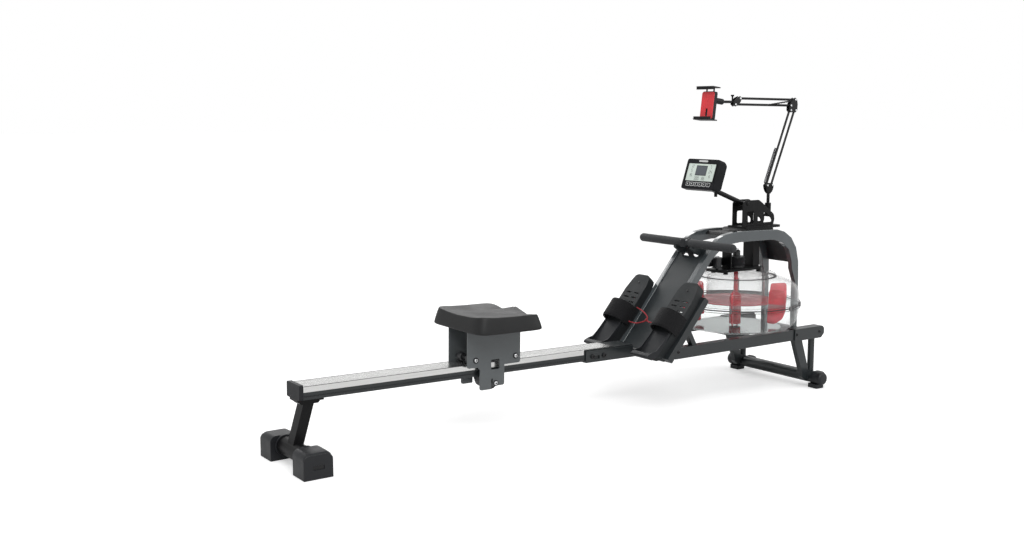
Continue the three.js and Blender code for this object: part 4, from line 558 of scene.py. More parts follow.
@dataclass(frozen=True)
class LiquidCrystal(Finish):
    """A reflective display: a grey-green ground with a faint cloud behind clear film."""

    def dress(self, surface: Surface) -> None:
        """Dresses the surface."""
        shade = surface.noise(18.0, 1.0)
        surface.give(
            Base_Color=surface.mix(shade.smooth(0.3, 0.7), self.colour, self.lighter(1.12)),
            Roughness=0.3, Coat_Weight=0.5, Coat_Roughness=0.05,
        )


class Looks(Enum):
    """The finishes on this machine."""

    PAINT = PowderCoat("frame_paint", (0.014, 0.0175, 0.019), 0.34, shine=0.42)
    # The arch paint is the frame's near-black made glossier and about four times lighter: the gloss is real, the
    # lighter colour is painted reflection on the arch faces.
    ARCH = PowderCoat("arch_paint", (0.058, 0.068, 0.073), 0.2, 0.00004, 1.0, 0.04, 0.6)
    CARRIAGE = PowderCoat("carriage_paint", (0.085, 0.094, 0.098), 0.36)
    ARM = PowderCoat("arm_paint", (0.0045, 0.0045, 0.005), 0.36, coat=0.04, shine=0.16)
    PLASTIC = MouldedPlastic("moulded_plastic", (0.010, 0.011, 0.013), 0.5, shine=0.3)
    CAP = MouldedPlastic("cap_plastic", (0.008, 0.009, 0.011), 0.44, shine=0.4)
    BOARD = MouldedPlastic("board_plastic", (0.014, 0.018, 0.020), 0.46, 0.00006, shine=0.42)
    TREAD = MouldedPlastic("tread_plastic", (0.010, 0.012, 0.013), 0.56, 0.00018, 900.0, 0.3)
    RAIL = BrushedSteel("rail_steel", (0.74, 0.74, 0.73))
    SCREW = TurnedSteel("screw_steel", (0.78, 0.79, 0.80))
    BLACK_SCREW = GlossPlastic("black_screw", (0.006, 0.006, 0.007), 0.3, 0.35)
    SPRING = TurnedSteel("spring_steel", (0.055, 0.055, 0.06))
    PAD = PadSkin("pad_skin", (0.0085, 0.0087, 0.009))
    RUBBER = Rubber("wheel_rubber", (0.018, 0.018, 0.019))
    GRIP = FoamGrip("grip_foam", (0.013, 0.014, 0.016))
    WEBBING = Webbing("strap_webbing", (0.006, 0.006, 0.007))
    PULL_WEBBING = Webbing("pull_webbing", (0.012, 0.012, 0.014))
    CORD = Braid("red_cord", (0.50, 0.010, 0.022))
    SHELL = ClearShell("tank_shell", (0.82, 0.84, 0.84), (0.99, 0.993, 0.993), 0.05, 0.5, 3.0)
    FLOOR = ClearFloor("tank_floor", (0.94, 0.95, 0.95))
    LID = ClearShell("lid_shell", (0.50, 0.50, 0.50), (0.97, 0.97, 0.97), 0.03, 0.55, 2.6)
    GASKET = Rubber("tank_gasket", (0.035, 0.034, 0.036))
    CLIP = GlossPlastic("seam_clip", (0.13, 0.125, 0.125), 0.3)
    WATER = TankWater("tank_water", (0.80, 0.85, 0.86))
    SKIN = TankWater("water_skin", (0.80, 0.85, 0.86), 0.34)
    BLADE = ClearRed("blade_red", (0.66, 0.012, 0.030))
    ROLLER = GlossPlastic("roller_plastic", (0.020, 0.021, 0.023), 0.34)
    CLAMP = GlossPlastic("clamp_red", (0.72, 0.030, 0.040), 0.24)
    CLAMP_PAD = GlossPlastic("clamp_pad", (0.006, 0.006, 0.007), 0.4, 0.2)
    KEY = GlossPlastic("key_plastic", (0.006, 0.007, 0.008), 0.3, 0.25)
    CONSOLE = MouldedPlastic("console_plastic", (0.006, 0.0065, 0.008), 0.36, 0.00005, shine=0.12)
    BEZEL = GlossPlastic("bezel_gloss", (0.004, 0.0045, 0.005), 0.14, 0.2)
    DISPLAY = LiquidCrystal("display_ground", (0.62, 0.70, 0.64))
    SHADE = LiquidCrystal("display_shade", (0.060, 0.070, 0.085))
    DIGIT = LiquidCrystal("display_digit", (0.014, 0.020, 0.020))
    PRINT = GlossPlastic("grey_print", (0.62, 0.63, 0.63), 0.45)

    def material(self) -> bpy.types.Material:
        """The finish's material, made once."""
        made = bpy.data.materials.get(self.value.label)
        return made or self.value.make()


def body_of(node: str) -> str:
    """The name of the body that carries a node."""
    bodies = frame["record"]["behaviour"]["bodies"]
    return next(name for name, nodes in bodies.items() if node in nodes)


def across(way: Vector) -> tuple[Vector, Vector]:
    """Two directions square to one way and to each other."""
    side = way.cross(Vector((0.0, 0.0, 1.0)))
    if side.length < 1e-4:
        side = Vector((0.0, 1.0, 0.0))
    side.normalize()
    return side, way.cross(side).normalized()


class Shape:
    """A mesh while bmesh operators make it, in metres in the machine's frame."""

    def __init__(self) -> None:
        """Starts an empty mesh."""
        self.bm = bmesh.new()

    @classmethod
    def of(cls, node: str) -> "Shape":
        """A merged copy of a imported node's mesh."""
        shape = cls()
        shape.bm.from_mesh(frame["nodes"][node].data)
        bmesh.ops.remove_doubles(shape.bm, verts=shape.bm.verts, dist=2e-6)
        bmesh.ops.dissolve_limit(
            shape.bm, angle_limit=math.radians(0.6), verts=shape.bm.verts, edges=shape.bm.edges,
        )
        return shape

    def box(self, low: Spot, high: Spot, round_by: float = 0.0, segments: int = 2) -> "Shape":
        """Adds a block between two corners.

        Args:
            low: the lowest corner.
            high: the highest corner.
            round_by: the radius of its edges.
            segments: the steps of that radius.

        Returns:
            This shape.
        """
        size = [b - a for a, b in zip(low, high)]
        middle = Vector([(a + b) / 2 for a, b in zip(low, high)])
        made = bmesh.ops.create_cube(self.bm, size=1.0)["verts"]
        bmesh.ops.scale(self.bm, vec=size, verts=made)
        bmesh.ops.translate(self.bm, vec=middle, verts=made)
        if round_by:
            self._round(made, round_by, segments)
        return self

    def _round(self, verts: Sequence[bmesh.types.BMVert], width: float, segments: int) -> None:
        """Rounds all edges of some vertices' island."""
        edges = list({edge for vert in verts for edge in vert.link_edges})
        bmesh.ops.bevel(
            self.bm, geom=edges, offset=width, offset_type="OFFSET", affect="EDGES", segments=segments,
            profile=0.5, material=-1, clamp_overlap=True,
        )

    def rod(
        self, start: Spot, end: Spot, radius: float, sides: int = 32, tip: float | None = None,
        round_by: float = 0.0,
    ) -> "Shape":
        """Adds a round bar, or a cone where the tip's radius is given.

        Args:
            start: the centre of one end.
            end: the centre of the other end.
            radius: its radius at the start.
            sides: how many sides it has.
            tip: its radius at the end.
            round_by: the radius of its end edges.

        Returns:
            This shape.
        """
        first, last = Vector(start), Vector(end)
        way = last - first
        turn = way.to_track_quat("Z", "Y").to_matrix().to_4x4()
        made = bmesh.ops.create_cone(
            self.bm, cap_ends=True, segments=sides, radius1=radius, radius2=radius if tip is None else tip,
            depth=way.length, matrix=Matrix.Translation((first + last) / 2) @ turn,
        )["verts"]
        if round_by:
            rims = list({
                edge for vert in made for edge in vert.link_edges
                if any(len(face.verts) > 4 for face in edge.link_faces)
            })
            bmesh.ops.bevel(
                self.bm, geom=rims, offset=round_by, offset_type="OFFSET", affect="EDGES", segments=3,
                profile=0.5, material=-1, clamp_overlap=True,
            )
        return self

    def ball(self, centre: Spot, radius: float, steps: int = 24) -> "Shape":
        """Adds a ball."""
        bmesh.ops.create_uvsphere(
            self.bm, u_segments=steps, v_segments=steps // 2, radius=radius,
            matrix=Matrix.Translation(Vector(centre)),
        )
        return self

    def turn(
        self, profile: Sequence[tuple[float, float]], centre: Spot, axis: Spot = (0.0, 0.0, 1.0),
        steps: int = 96, closed: bool = False,
    ) -> "Shape":
        """Adds a turned solid.

        Args:
            profile: (radius, height along the axis) pairs.
            centre: where the axis starts.
            axis: the axis' direction.
            steps: how many steps it has.
            closed: joins the profile's last point to its first, for a ring.

        Returns:
            This shape.
        """
        way = Vector(axis).normalized()
        side, _ = across(way)
        origin = Vector(centre)
        verts = [self.bm.verts.new(origin + side * radius + way * height) for radius, height in profile]
        pairs = list(zip(verts, verts[1:])) + ([(verts[-1], verts[0])] if closed else [])
        edges = [self.bm.edges.new(pair) for pair in pairs]
        bmesh.ops.spin(
            self.bm, geom=verts + edges, cent=origin, axis=way, dvec=(0.0, 0.0, 0.0), angle=math.tau,
            steps=steps, use_merge=True, use_duplicate=False,
        )
        return self.merge()

    def merge(self, distance: float = 2e-6) -> "Shape":
        """Merges doubles and turns the faces outwards."""
        bmesh.ops.remove_doubles(self.bm, verts=self.bm.verts, dist=distance)
        bmesh.ops.dissolve_degenerate(self.bm, edges=self.bm.edges, dist=1e-7)
        bmesh.ops.recalc_face_normals(self.bm, faces=self.bm.faces)
        return self

    def prism(self, points: Sequence[Spot], depth: Spot, round_by: float = 0.0) -> "Shape":
        """Adds an outline pushed along a direction.

        Args:
            points: the outline's corners.
            depth: how far and which way it is pushed.
            round_by: the radius of its edges.

        Returns:
            This shape.
        """
        verts = [self.bm.verts.new(Vector(spot)) for spot in points]
        face = self.bm.faces.new(verts)
        made = bmesh.ops.extrude_face_region(self.bm, geom=[face])["geom"]
        moved = [item for item in made if isinstance(item, bmesh.types.BMVert)]
        bmesh.ops.translate(self.bm, vec=Vector(depth), verts=moved)
        island = verts + moved
        faces = list({face for vert in island for face in vert.link_faces})
        bmesh.ops.recalc_face_normals(self.bm, faces=faces)
        if round_by:
            self._round(island, round_by, 2)
        return self

    def soften(self, width: float, segments: int = 2, angle: float = 38.0) -> "Shape":
        """Rounds every edge that turns by more than an angle.

        Args:
            width: the radius.
            segments: its steps.
            angle: the angle in degrees.

        Returns:
            This shape.
        """
        limit = math.radians(angle)
        edges = [
            edge for edge in self.bm.edges if edge.is_manifold and edge.calc_face_angle(0.0) > limit
        ]
        bmesh.ops.bevel(
            self.bm, geom=edges, offset=width, offset_type="OFFSET", affect="EDGES", segments=segments,
            profile=0.5, material=-1, clamp_overlap=True,
        )
        return self

    def moved(self, matrix: Matrix) -> "Shape":
        """Moves the whole shape."""
        bmesh.ops.transform(self.bm, matrix=matrix, verts=self.bm.verts)
        return self

    def piece(
        self, name: str, look: Looks, body: str, stands_for: Iterable[str] = (), sharp: float = 38.0,
        weighted: bool = True,
    ) -> bpy.types.Object:
        """Ends the shape and puts it on its body.

        Args:
            name: the piece's name.
            look: its finish.
            body: the body that carries it.
            stands_for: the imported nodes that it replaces.
            sharp: edges that turn by more than this, in degrees, stay sharp.
            weighted: lets large faces lead the shading.

        Returns:
            The new object.
        """
        mesh = bpy.data.meshes.new(name)
        self.bm.to_mesh(mesh)
        self.bm.free()
        mesh.shade_smooth()
        mesh.set_sharp_from_angle(angle=math.radians(sharp))
        made = bpy.data.objects.new(name, mesh)
        bpy.context.scene.collection.objects.link(made)
        mesh.materials.append(look.material())
        if weighted:
            leading = made.modifiers.new("flat_faces_lead", "WEIGHTED_NORMAL")
            leading.keep_sharp = True
        if body:
            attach(made, body)
        nodes = list(stands_for)
        if nodes:
            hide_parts(*nodes)
        LOG.info("piece %s on %s: %d faces", name, body, len(mesh.polygons))
        return made


def refine(node: str, look: Looks, width: float = 0.0008, segments: int = 2, sharp: float = 38.0) -> bpy.types.Object:
    """Replaces a node by its own shape with rounded edges.

    Args:
        node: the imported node.
        look: its finish.
        width: the edges' radius in metres.
        segments: the radius's steps.
        sharp: the angle past which an edge counts.

    Returns:
        The new object.
    """
    shape = Shape.of(node)
    if width:
        shape.soften(width, segments, sharp)
    return shape.piece(f"{node}_body", look, body_of(node), [node], sharp)


def dress(node: str, look: Looks) -> None:
    """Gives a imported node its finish."""
    for slot in frame["nodes"][node].material_slots:
        slot.link = "OBJECT"
        slot.material = look.material()


REAR_LINE = -1.02845
CLIMB = math.radians(49.8)


def spot(x: float, y: float, z: float) -> Spot:
    """A place in metres, from millimetres ahead of the rear foot bar, to the left and up."""
    return (x / 1000 + REAR_LINE, y / 1000, z / 1000)


def climb(along: float, side: float, off: float) -> Spot:
    """A place on the foot board's line.

    Args:
        along: millimetres up the board.
        side: millimetres to the left.
        off: millimetres off its face.

    Returns:
        The place in metres.
    """
    cos, sin = math.cos(CLIMB), math.sin(CLIMB)
    return spot(1294 + along * cos - off * sin, side, 200 + along * sin + off * cos)


def flow(points: Sequence[Spot], steps: int = 8) -> list[Vector]:
    """A smooth line through some points.

    Args:
        points: the points.
        steps: how many steps each span gets.

    Returns:
        The line's points.
    """
    spots = [Vector(point) for point in points]
    ends = [spots[0] * 2 - spots[1], *spots, spots[-1] * 2 - spots[-2]]
    line = []
    for before, first, second, after in zip(ends, ends[1:], ends[2:], ends[3:]):
        for step in range(steps):
            t = step / steps
            line.append(0.5 * (
                first * 2 + (second - before) * t + (before * 2 - first * 5 + second * 4 - after) * t ** 2
                + (first * 3 - before - second * 3 + after) * t ** 3
            ))
    return [*line, spots[-1]]


def length_of(line: Sequence[Vector]) -> float:
    """A line's length."""
    return sum((b - a).length for a, b in zip(line, line[1:]))


def rounded(wide: float, high: float, corner: float, steps: int = 5) -> list[tuple[float, float]]:
    """A rounded rectangle's outline round the origin.

    Args:
        wide: its size along the first direction.
        high: its size along the second.
        corner: its corners' radius.
        steps: each corner's steps.

    Returns:
        The outline's points.
    """
    points = []
    for turn, (sx, sy) in enumerate(((1, 1), (-1, 1), (-1, -1), (1, -1))):
        for step in range(steps + 1):
            angle = math.pi / 2 * (turn + step / steps)
            points.append((
                sx * (wide / 2 - corner) + corner * math.cos(angle), sy * (high / 2 - corner) + corner * math.sin(angle),
            ))
    return points


def sheet_cut(
    place: Matrix, outline: Sequence[tuple[float, float]], depth: float, *holes: Sequence[tuple[float, float]],
    round_by: float = 0.0,
) -> Shape:
    """A flat plate with holes.

    Args:
        place: the plate's frame: its outline lies in Y and Z, and its depth goes along X.
        outline: the outer points.
        depth: the thickness.
        holes: the holes' points.
        round_by: the radius of its edges.

    Returns:
        The plate as a shape.
    """
    shape = Shape()
    for loop in (outline, *holes):
        verts = [shape.bm.verts.new((0.0, y, z)) for y, z in loop]
        for pair in zip(verts, verts[1:] + verts[:1]):
            shape.bm.edges.new(pair)
    bmesh.ops.triangle_fill(shape.bm, use_beauty=True, use_dissolve=True, edges=shape.bm.edges[:], normal=(-1.0, 0.0, 0.0))
    made = bmesh.ops.extrude_face_region(shape.bm, geom=shape.bm.faces[:])["geom"]
    moved = [item for item in made if isinstance(item, bmesh.types.BMVert)]
    bmesh.ops.translate(shape.bm, vec=(depth, 0.0, 0.0), verts=moved)
    bmesh.ops.recalc_face_normals(shape.bm, faces=shape.bm.faces)
    if round_by:
        shape.soften(round_by, 2, 60.0)
    return shape.moved(place)


def screw(name: str, look: Looks, body: str, place: Spot, way: Spot, radius: float, proud: float) -> None:
    """Adds a button-head socket screw.

    Args:
        name: the piece's name.
        look: its finish.
        body: the body that carries it.
        place: the middle of its seat.
        way: the direction that its head faces.
        radius: the head's radius.
        proud: the head's height.
    """
    socket = radius * 0.42
    profile = [
        (0.0, proud * 0.35), (socket, proud * 0.35), (socket, proud), (radius * 0.62, proud), (radius * 0.9, proud * 0.66),
        (radius, proud * 0.28), (radius, -0.0004), (0.0, -0.0004),
    ]
    Shape().turn(profile, place, way, 24).piece(name, look, body, sharp=30.0)


def swept(shape: "Shape", stations: Sequence[Matrix], outline: Sequence[Spot], closed: bool) -> None:
    """Draws an outline along a line of stations and maps it: along in metres, then across or around.

    Args:
        shape: the shape that gets the faces.
        stations: a placing for each stop, with the line's way along its Z.
        outline: the outline's points in a station's own plane.
        closed: joins the outline's ends and maps it by turns, or else leaves it open and maps it in metres.
    """
    bm = shape.bm
    plan = bm.loops.layers.uv.new("tape")
    row = [bm.verts.new(stations[0] @ Vector(point)) for point in outline]
    pairs = list(zip(row, row[1:])) + ([(row[-1], row[0])] if closed else [])
    edges = [bm.edges.new(pair) for pair in pairs]
    place = {vert: (0.0, Vector(point)) for vert, point in zip(row, outline)}
    if closed:
        bm.faces.new(list(reversed(row)))
    run = 0.0
    for before, here in zip(stations, stations[1:]):
        run += (here.translation - before.translation).length
        made = bmesh.ops.extrude_edge_only(bm, edges=edges)["geom"]
        fresh = {item for item in made if isinstance(item, bmesh.types.BMVert)}
        edges = [
            item for item in made if isinstance(item, bmesh.types.BMEdge) and fresh.issuperset(item.verts)
        ]
        back = before.inverted()
        for vert in fresh:
            place[vert] = (run, back @ vert.co)
        bmesh.ops.transform(bm, matrix=here @ back, verts=list(fresh))
    if closed:
        bmesh.ops.contextual_create(bm, geom=edges)
    for face in bm.faces:
        spots = [place[loop.vert] for loop in face.loops]
        turns = [math.atan2(point.y, point.x) / math.tau % 1.0 for _, point in spots]
        wraps = closed and max(turns) - min(turns) > 0.5
        for loop, (run, point), turn in zip(face.loops, spots, turns):
            side = turn + (1.0 if wraps and turn < 0.5 else 0.0) if closed else point.x
            loop[plan].uv = (run, side)
    bmesh.ops.recalc_face_normals(bm, faces=bm.faces)


def stations_of(line: Sequence[Vector], side: Vector | None = None) -> list[Matrix]:
    """Placings along a line that turn with it as little as they can.

    Args:
        line: the line's points.
        side: which way the outline's own X points at the start.

    Returns:
        One placing for each point.
    """
    placed = []
    for index, point in enumerate(line):
        way = (line[min(index + 1, len(line) - 1)] - line[max(index - 1, 0)]).normalized()
        side = side or across(way)[0]
        side = (side - way * side.dot(way)).normalized()
        turn = Matrix((side, way.cross(side), way)).transposed().to_4x4()
        placed.append(Matrix.Translation(point) @ turn)
    return placed


def tape(
    name: str, look: Looks, body: str, line: Sequence[Vector], sides: Sequence[Vector], width: float,
    thickness: float, stands_for: Iterable[str] = (),
) -> bpy.types.Object:
    """A flat band along a line, with its own map for the weave.

    Args:
        name: the piece's name.
        look: its finish.
        body: the body that carries it.
        line: the points along its middle.
        sides: which way its width points at each of them.
        width: how wide it is.
        thickness: how thick it is.
        stands_for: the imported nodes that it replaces.

    Returns:
        The new object.
    """
    placed = []
    for index, (point, side) in enumerate(zip(line, sides)):
        way = (line[min(index + 1, len(line) - 1)] - line[max(index - 1, 0)]).normalized()
        flat = (side - way * side.dot(way)).normalized()
        placed.append(Matrix.Translation(point) @ Matrix((flat, way.cross(flat), way)).transposed().to_4x4())
    shape = Shape()
    swept(shape, placed, [(width * (k / 6 - 0.5), 0.0, 0.0) for k in range(7)], closed=False)
    made = shape.piece(name, look, body, stands_for, weighted=False)
    wall = made.modifiers.new("thickness", "SOLIDIFY")
    wall.thickness, wall.offset = thickness, 0.0
    selvedge = made.modifiers.new("selvedge", "BEVEL")
    selvedge.width, selvedge.segments = thickness * 0.3, 2
    return made


def tube(
    name: str, look: Looks, body: str, line: Sequence[Vector], radius: float, stands_for: Iterable[str] = (),
    sides: int = 16,
) -> bpy.types.Object:
    """A round cord or wire along a line, with its own map for the braid.

    Args:
        name: the piece's name.
        look: its finish.
        body: the body that carries it.
        line: the points along its middle.
        radius: its radius.
        stands_for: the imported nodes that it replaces.
        sides: how many sides it has.

    Returns:
        The new object.
    """
    shape = Shape()
    turns = [math.tau * k / sides for k in range(sides)]
    outline = [(math.cos(turn) * radius, math.sin(turn) * radius, 0.0) for turn in turns]
    swept(shape, stations_of(line), outline, closed=True)
    return shape.piece(name, look, body, stands_for, sharp=60.0, weighted=False)


@dataclass
class Studio:
    """The floor, the lamps and the camera."""

    eye: Spot = (-2.39155, -3.0844, 1.0261)
    yaw: float = 34.816
    pitch: float = 7.573
    lens: float = 40.838
    shift: tuple[float, float] = (-0.00221, -0.00115)
    floor_colour: Colour = (0.80, 0.80, 0.80)

    def build(self) -> None:
        """Builds the studio."""
        self.camera()
        self.world()
        self.floor()
        self.lamp("key_softbox", (-1.6, -2.6, 3.0), (0.2, 0.0, 0.3), 2.6, 1.6, 46.0)
        self.lamp("side_softbox", (3.1, -2.0, 1.7), (0.6, 0.0, 0.4), 1.8, 1.8, 20.0)
        self.lamp("back_softbox", (0.9, 2.8, 2.4), (0.4, 0.0, 0.4), 3.2, 1.0, 34.0)
        self.sun()
        settings = bpy.context.scene.view_settings
        settings.view_transform = "Standard"

    def camera(self) -> None:
        """Places the camera where the photograph was taken."""
        data = bpy.data.cameras.new("camera")
        data.lens = self.lens
        data.sensor_width = 36.0
        data.sensor_fit = "HORIZONTAL"
        data.shift_x, data.shift_y = self.shift
        data.clip_end = 200.0
        eye = bpy.data.objects.new("camera", data)
        eye.location = self.eye
        eye.rotation_euler = (math.radians(90 - self.pitch), 0.0, math.radians(-self.yaw))
        bpy.context.scene.collection.objects.link(eye)
        bpy.context.scene.camera = eye

    def world(self) -> None:
        """A plain white surround, softer for diffuse light."""
        world = bpy.data.worlds.new("surround")
        bpy.context.scene.world = world
        world.use_nodes = True
        tree = world.node_tree
        back = tree.nodes["Background"]
        path = tree.nodes.new("ShaderNodeLightPath")
        seen = tree.nodes.new("ShaderNodeMath")
        seen.operation = "MAXIMUM"
        tree.links.new(path.outputs["Is Camera Ray"], seen.inputs[0])
        tree.links.new(path.outputs["Is Transmission Ray"], seen.inputs[1])
        level = tree.nodes.new("ShaderNodeMapRange")
        tree.links.new(seen.outputs[0], level.inputs[0])
        level.inputs[3].default_value = 0.42
        level.inputs[4].default_value = 1.0
        glossy = tree.nodes.new("ShaderNodeMath")
        glossy.operation = "MULTIPLY_ADD"
        tree.links.new(path.outputs["Is Glossy Ray"], glossy.inputs[0])
        glossy.inputs[1].default_value = 0.28
        tree.links.new(level.outputs[0], glossy.inputs[2])
        tree.links.new(glossy.outputs[0], back.inputs["Strength"])
        back.inputs["Color"].default_value = (1.0, 1.0, 1.0, 1.0)

    def floor(self) -> None:
        """A pale floor that fades into the surround and keeps the machine's shadow."""
        surface = Surface("floor")
        seen = surface.node("ShaderNodeLightPath", {}, {}, "Is Camera Ray")
        surface.give(Base_Color=self.floor_colour, Roughness=0.9, Specular_IOR_Level=0.1)
        glow = surface.node("ShaderNodeEmission", {}, {"Color": (1.0, 1.0, 1.0), "Strength": seen * 0.44})
        both = surface.node("ShaderNodeAddShader", {}, {0: Wire(surface, surface.shader.outputs[0]), 1: glow})
        surface.join(surface.output.inputs["Surface"], both)
        shape = Shape()
        bmesh.ops.create_grid(shape.bm, x_segments=1, y_segments=1, size=60.0)
        mesh = bpy.data.meshes.new("floor")
        shape.bm.to_mesh(mesh)
        shape.bm.free()
        mesh.materials.append(surface.material)
        plane = bpy.data.objects.new("floor", mesh)
        plane.location = (0.0, 0.0, -0.0005)
        bpy.context.scene.collection.objects.link(plane)

    def lamp(self, name: str, place: Spot, aim: Spot, wide: float, high: float, power: float) -> None:
        """Adds a soft lamp.

        Args:
            name: its name.
            place: where it stands.
            aim: where it points.
            wide: its width.
            high: its height.
            power: its power in watts.
        """
        data = bpy.data.lights.new(name, "AREA")
        data.shape = "RECTANGLE"
        data.size, data.size_y, data.energy = wide, high, power
        lamp = bpy.data.objects.new(name, data)
        lamp.location = place
        lamp.rotation_euler = (Vector(aim) - Vector(place)).to_track_quat("-Z", "Y").to_euler()
        bpy.context.scene.collection.objects.link(lamp)

    def sun(self) -> None:
        """Adds the wide, even light from above."""
        data = bpy.data.lights.new("overhead", "SUN")
        data.energy = 1.15
        data.angle = math.radians(70)
        lamp = bpy.data.objects.new("overhead", data)
        lamp.rotation_euler = (math.radians(24), math.radians(-14), 0.0)
        bpy.context.scene.collection.objects.link(lamp)


@dataclass
class Cords:
    """The red heel cord and the webbing that pulls the drum, with the cord's knot."""

    cord_radius: float = 0.0022
    cord_off: float = 20.0
    route: tuple[tuple[float, float], ...] = (
        (153, 77.2), (144, 40), (127, 2), (112, -6), (98, 14), (91, 42), (92, 73.7),
    )
    tail: tuple[tuple[float, float], ...] = ((112, -6), (106, -30), (112, -73.7))
    strap_width: float = 0.030
    strap_thickness: float = 0.0018

    def build(self) -> None:
        """Builds both."""
        self.heel_cord()
        self.pull_strap()

    def heel_cord(self) -> None:
        """The loop between the foot plates and its tail, tied in one knot."""
        loop = flow([climb(s, y, self.cord_off) for s, y in self.route], 9)
        tail = flow([climb(s, y, self.cord_off) for s, y in self.tail], 10)
        bight = tube("heel_cord_loop", Looks.CORD, "frame", loop, self.cord_radius, ["heel_cord"])
        line = tube("heel_cord_tail", Looks.CORD, "frame", tail[3:], self.cord_radius)
        knot = Shape().ball(climb(112, -6, self.cord_off), 0.0055, 28)
        for vert in knot.bm.verts:
            offset = vert.co - Vector(climb(112, -6, self.cord_off))
            turn = math.atan2(offset.y, offset.x)
            vert.co += offset * (0.13 * math.sin(turn * 3 + offset.z * 900))
        knot.bm.loops.layers.uv.new("tape")
        tied = knot.piece("heel_cord_knot", Looks.CORD, "frame", weighted=False)
        length_of(loop)
        length_of(tail[3:])

    def pull_strap(self) -> None:
        """The webbing: from its bridge on the handle, down and round to the drum, turning on edge."""
        stops = [
            ((1552, 0, 545.25), 0.0), ((1559.8, 0, 530.6), 0.0), ((1567.6, 0, 516), 0.0),
            ((1584.8, 0, 500.2), 0.0), ((1603.1, 0, 485.6), 0.0), ((1625, 0, 477), 0.0),
            ((1652.5, 9.1, 477), 0.5), ((1680, 18.2, 477), 1.0), ((1700, 18.2, 477), 1.0), ((1798, 28.2, 477), 1.0),
        ]
        line = flow([spot(*place) for place, _ in stops], 6)
        sides = []
        for index in range(len(line)):
            stop, share = divmod(index / 6, 1.0)
            first = stops[min(int(stop), len(stops) - 1)][1]
            second = stops[min(int(stop) + 1, len(stops) - 1)][1]
            turn = (first + (second - first) * share) * math.pi / 2
            sides.append(Vector((0.0, math.cos(turn), math.sin(turn))))
        strap = tape(
            "pull_webbing", Looks.PULL_WEBBING, "", line, sides, self.strap_width, self.strap_thickness,
            ["pull_strap"],
        )
        spot(1586, 0, 499)
        spot(1556, 0, 538)
        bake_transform(strap)
        length_of(line)


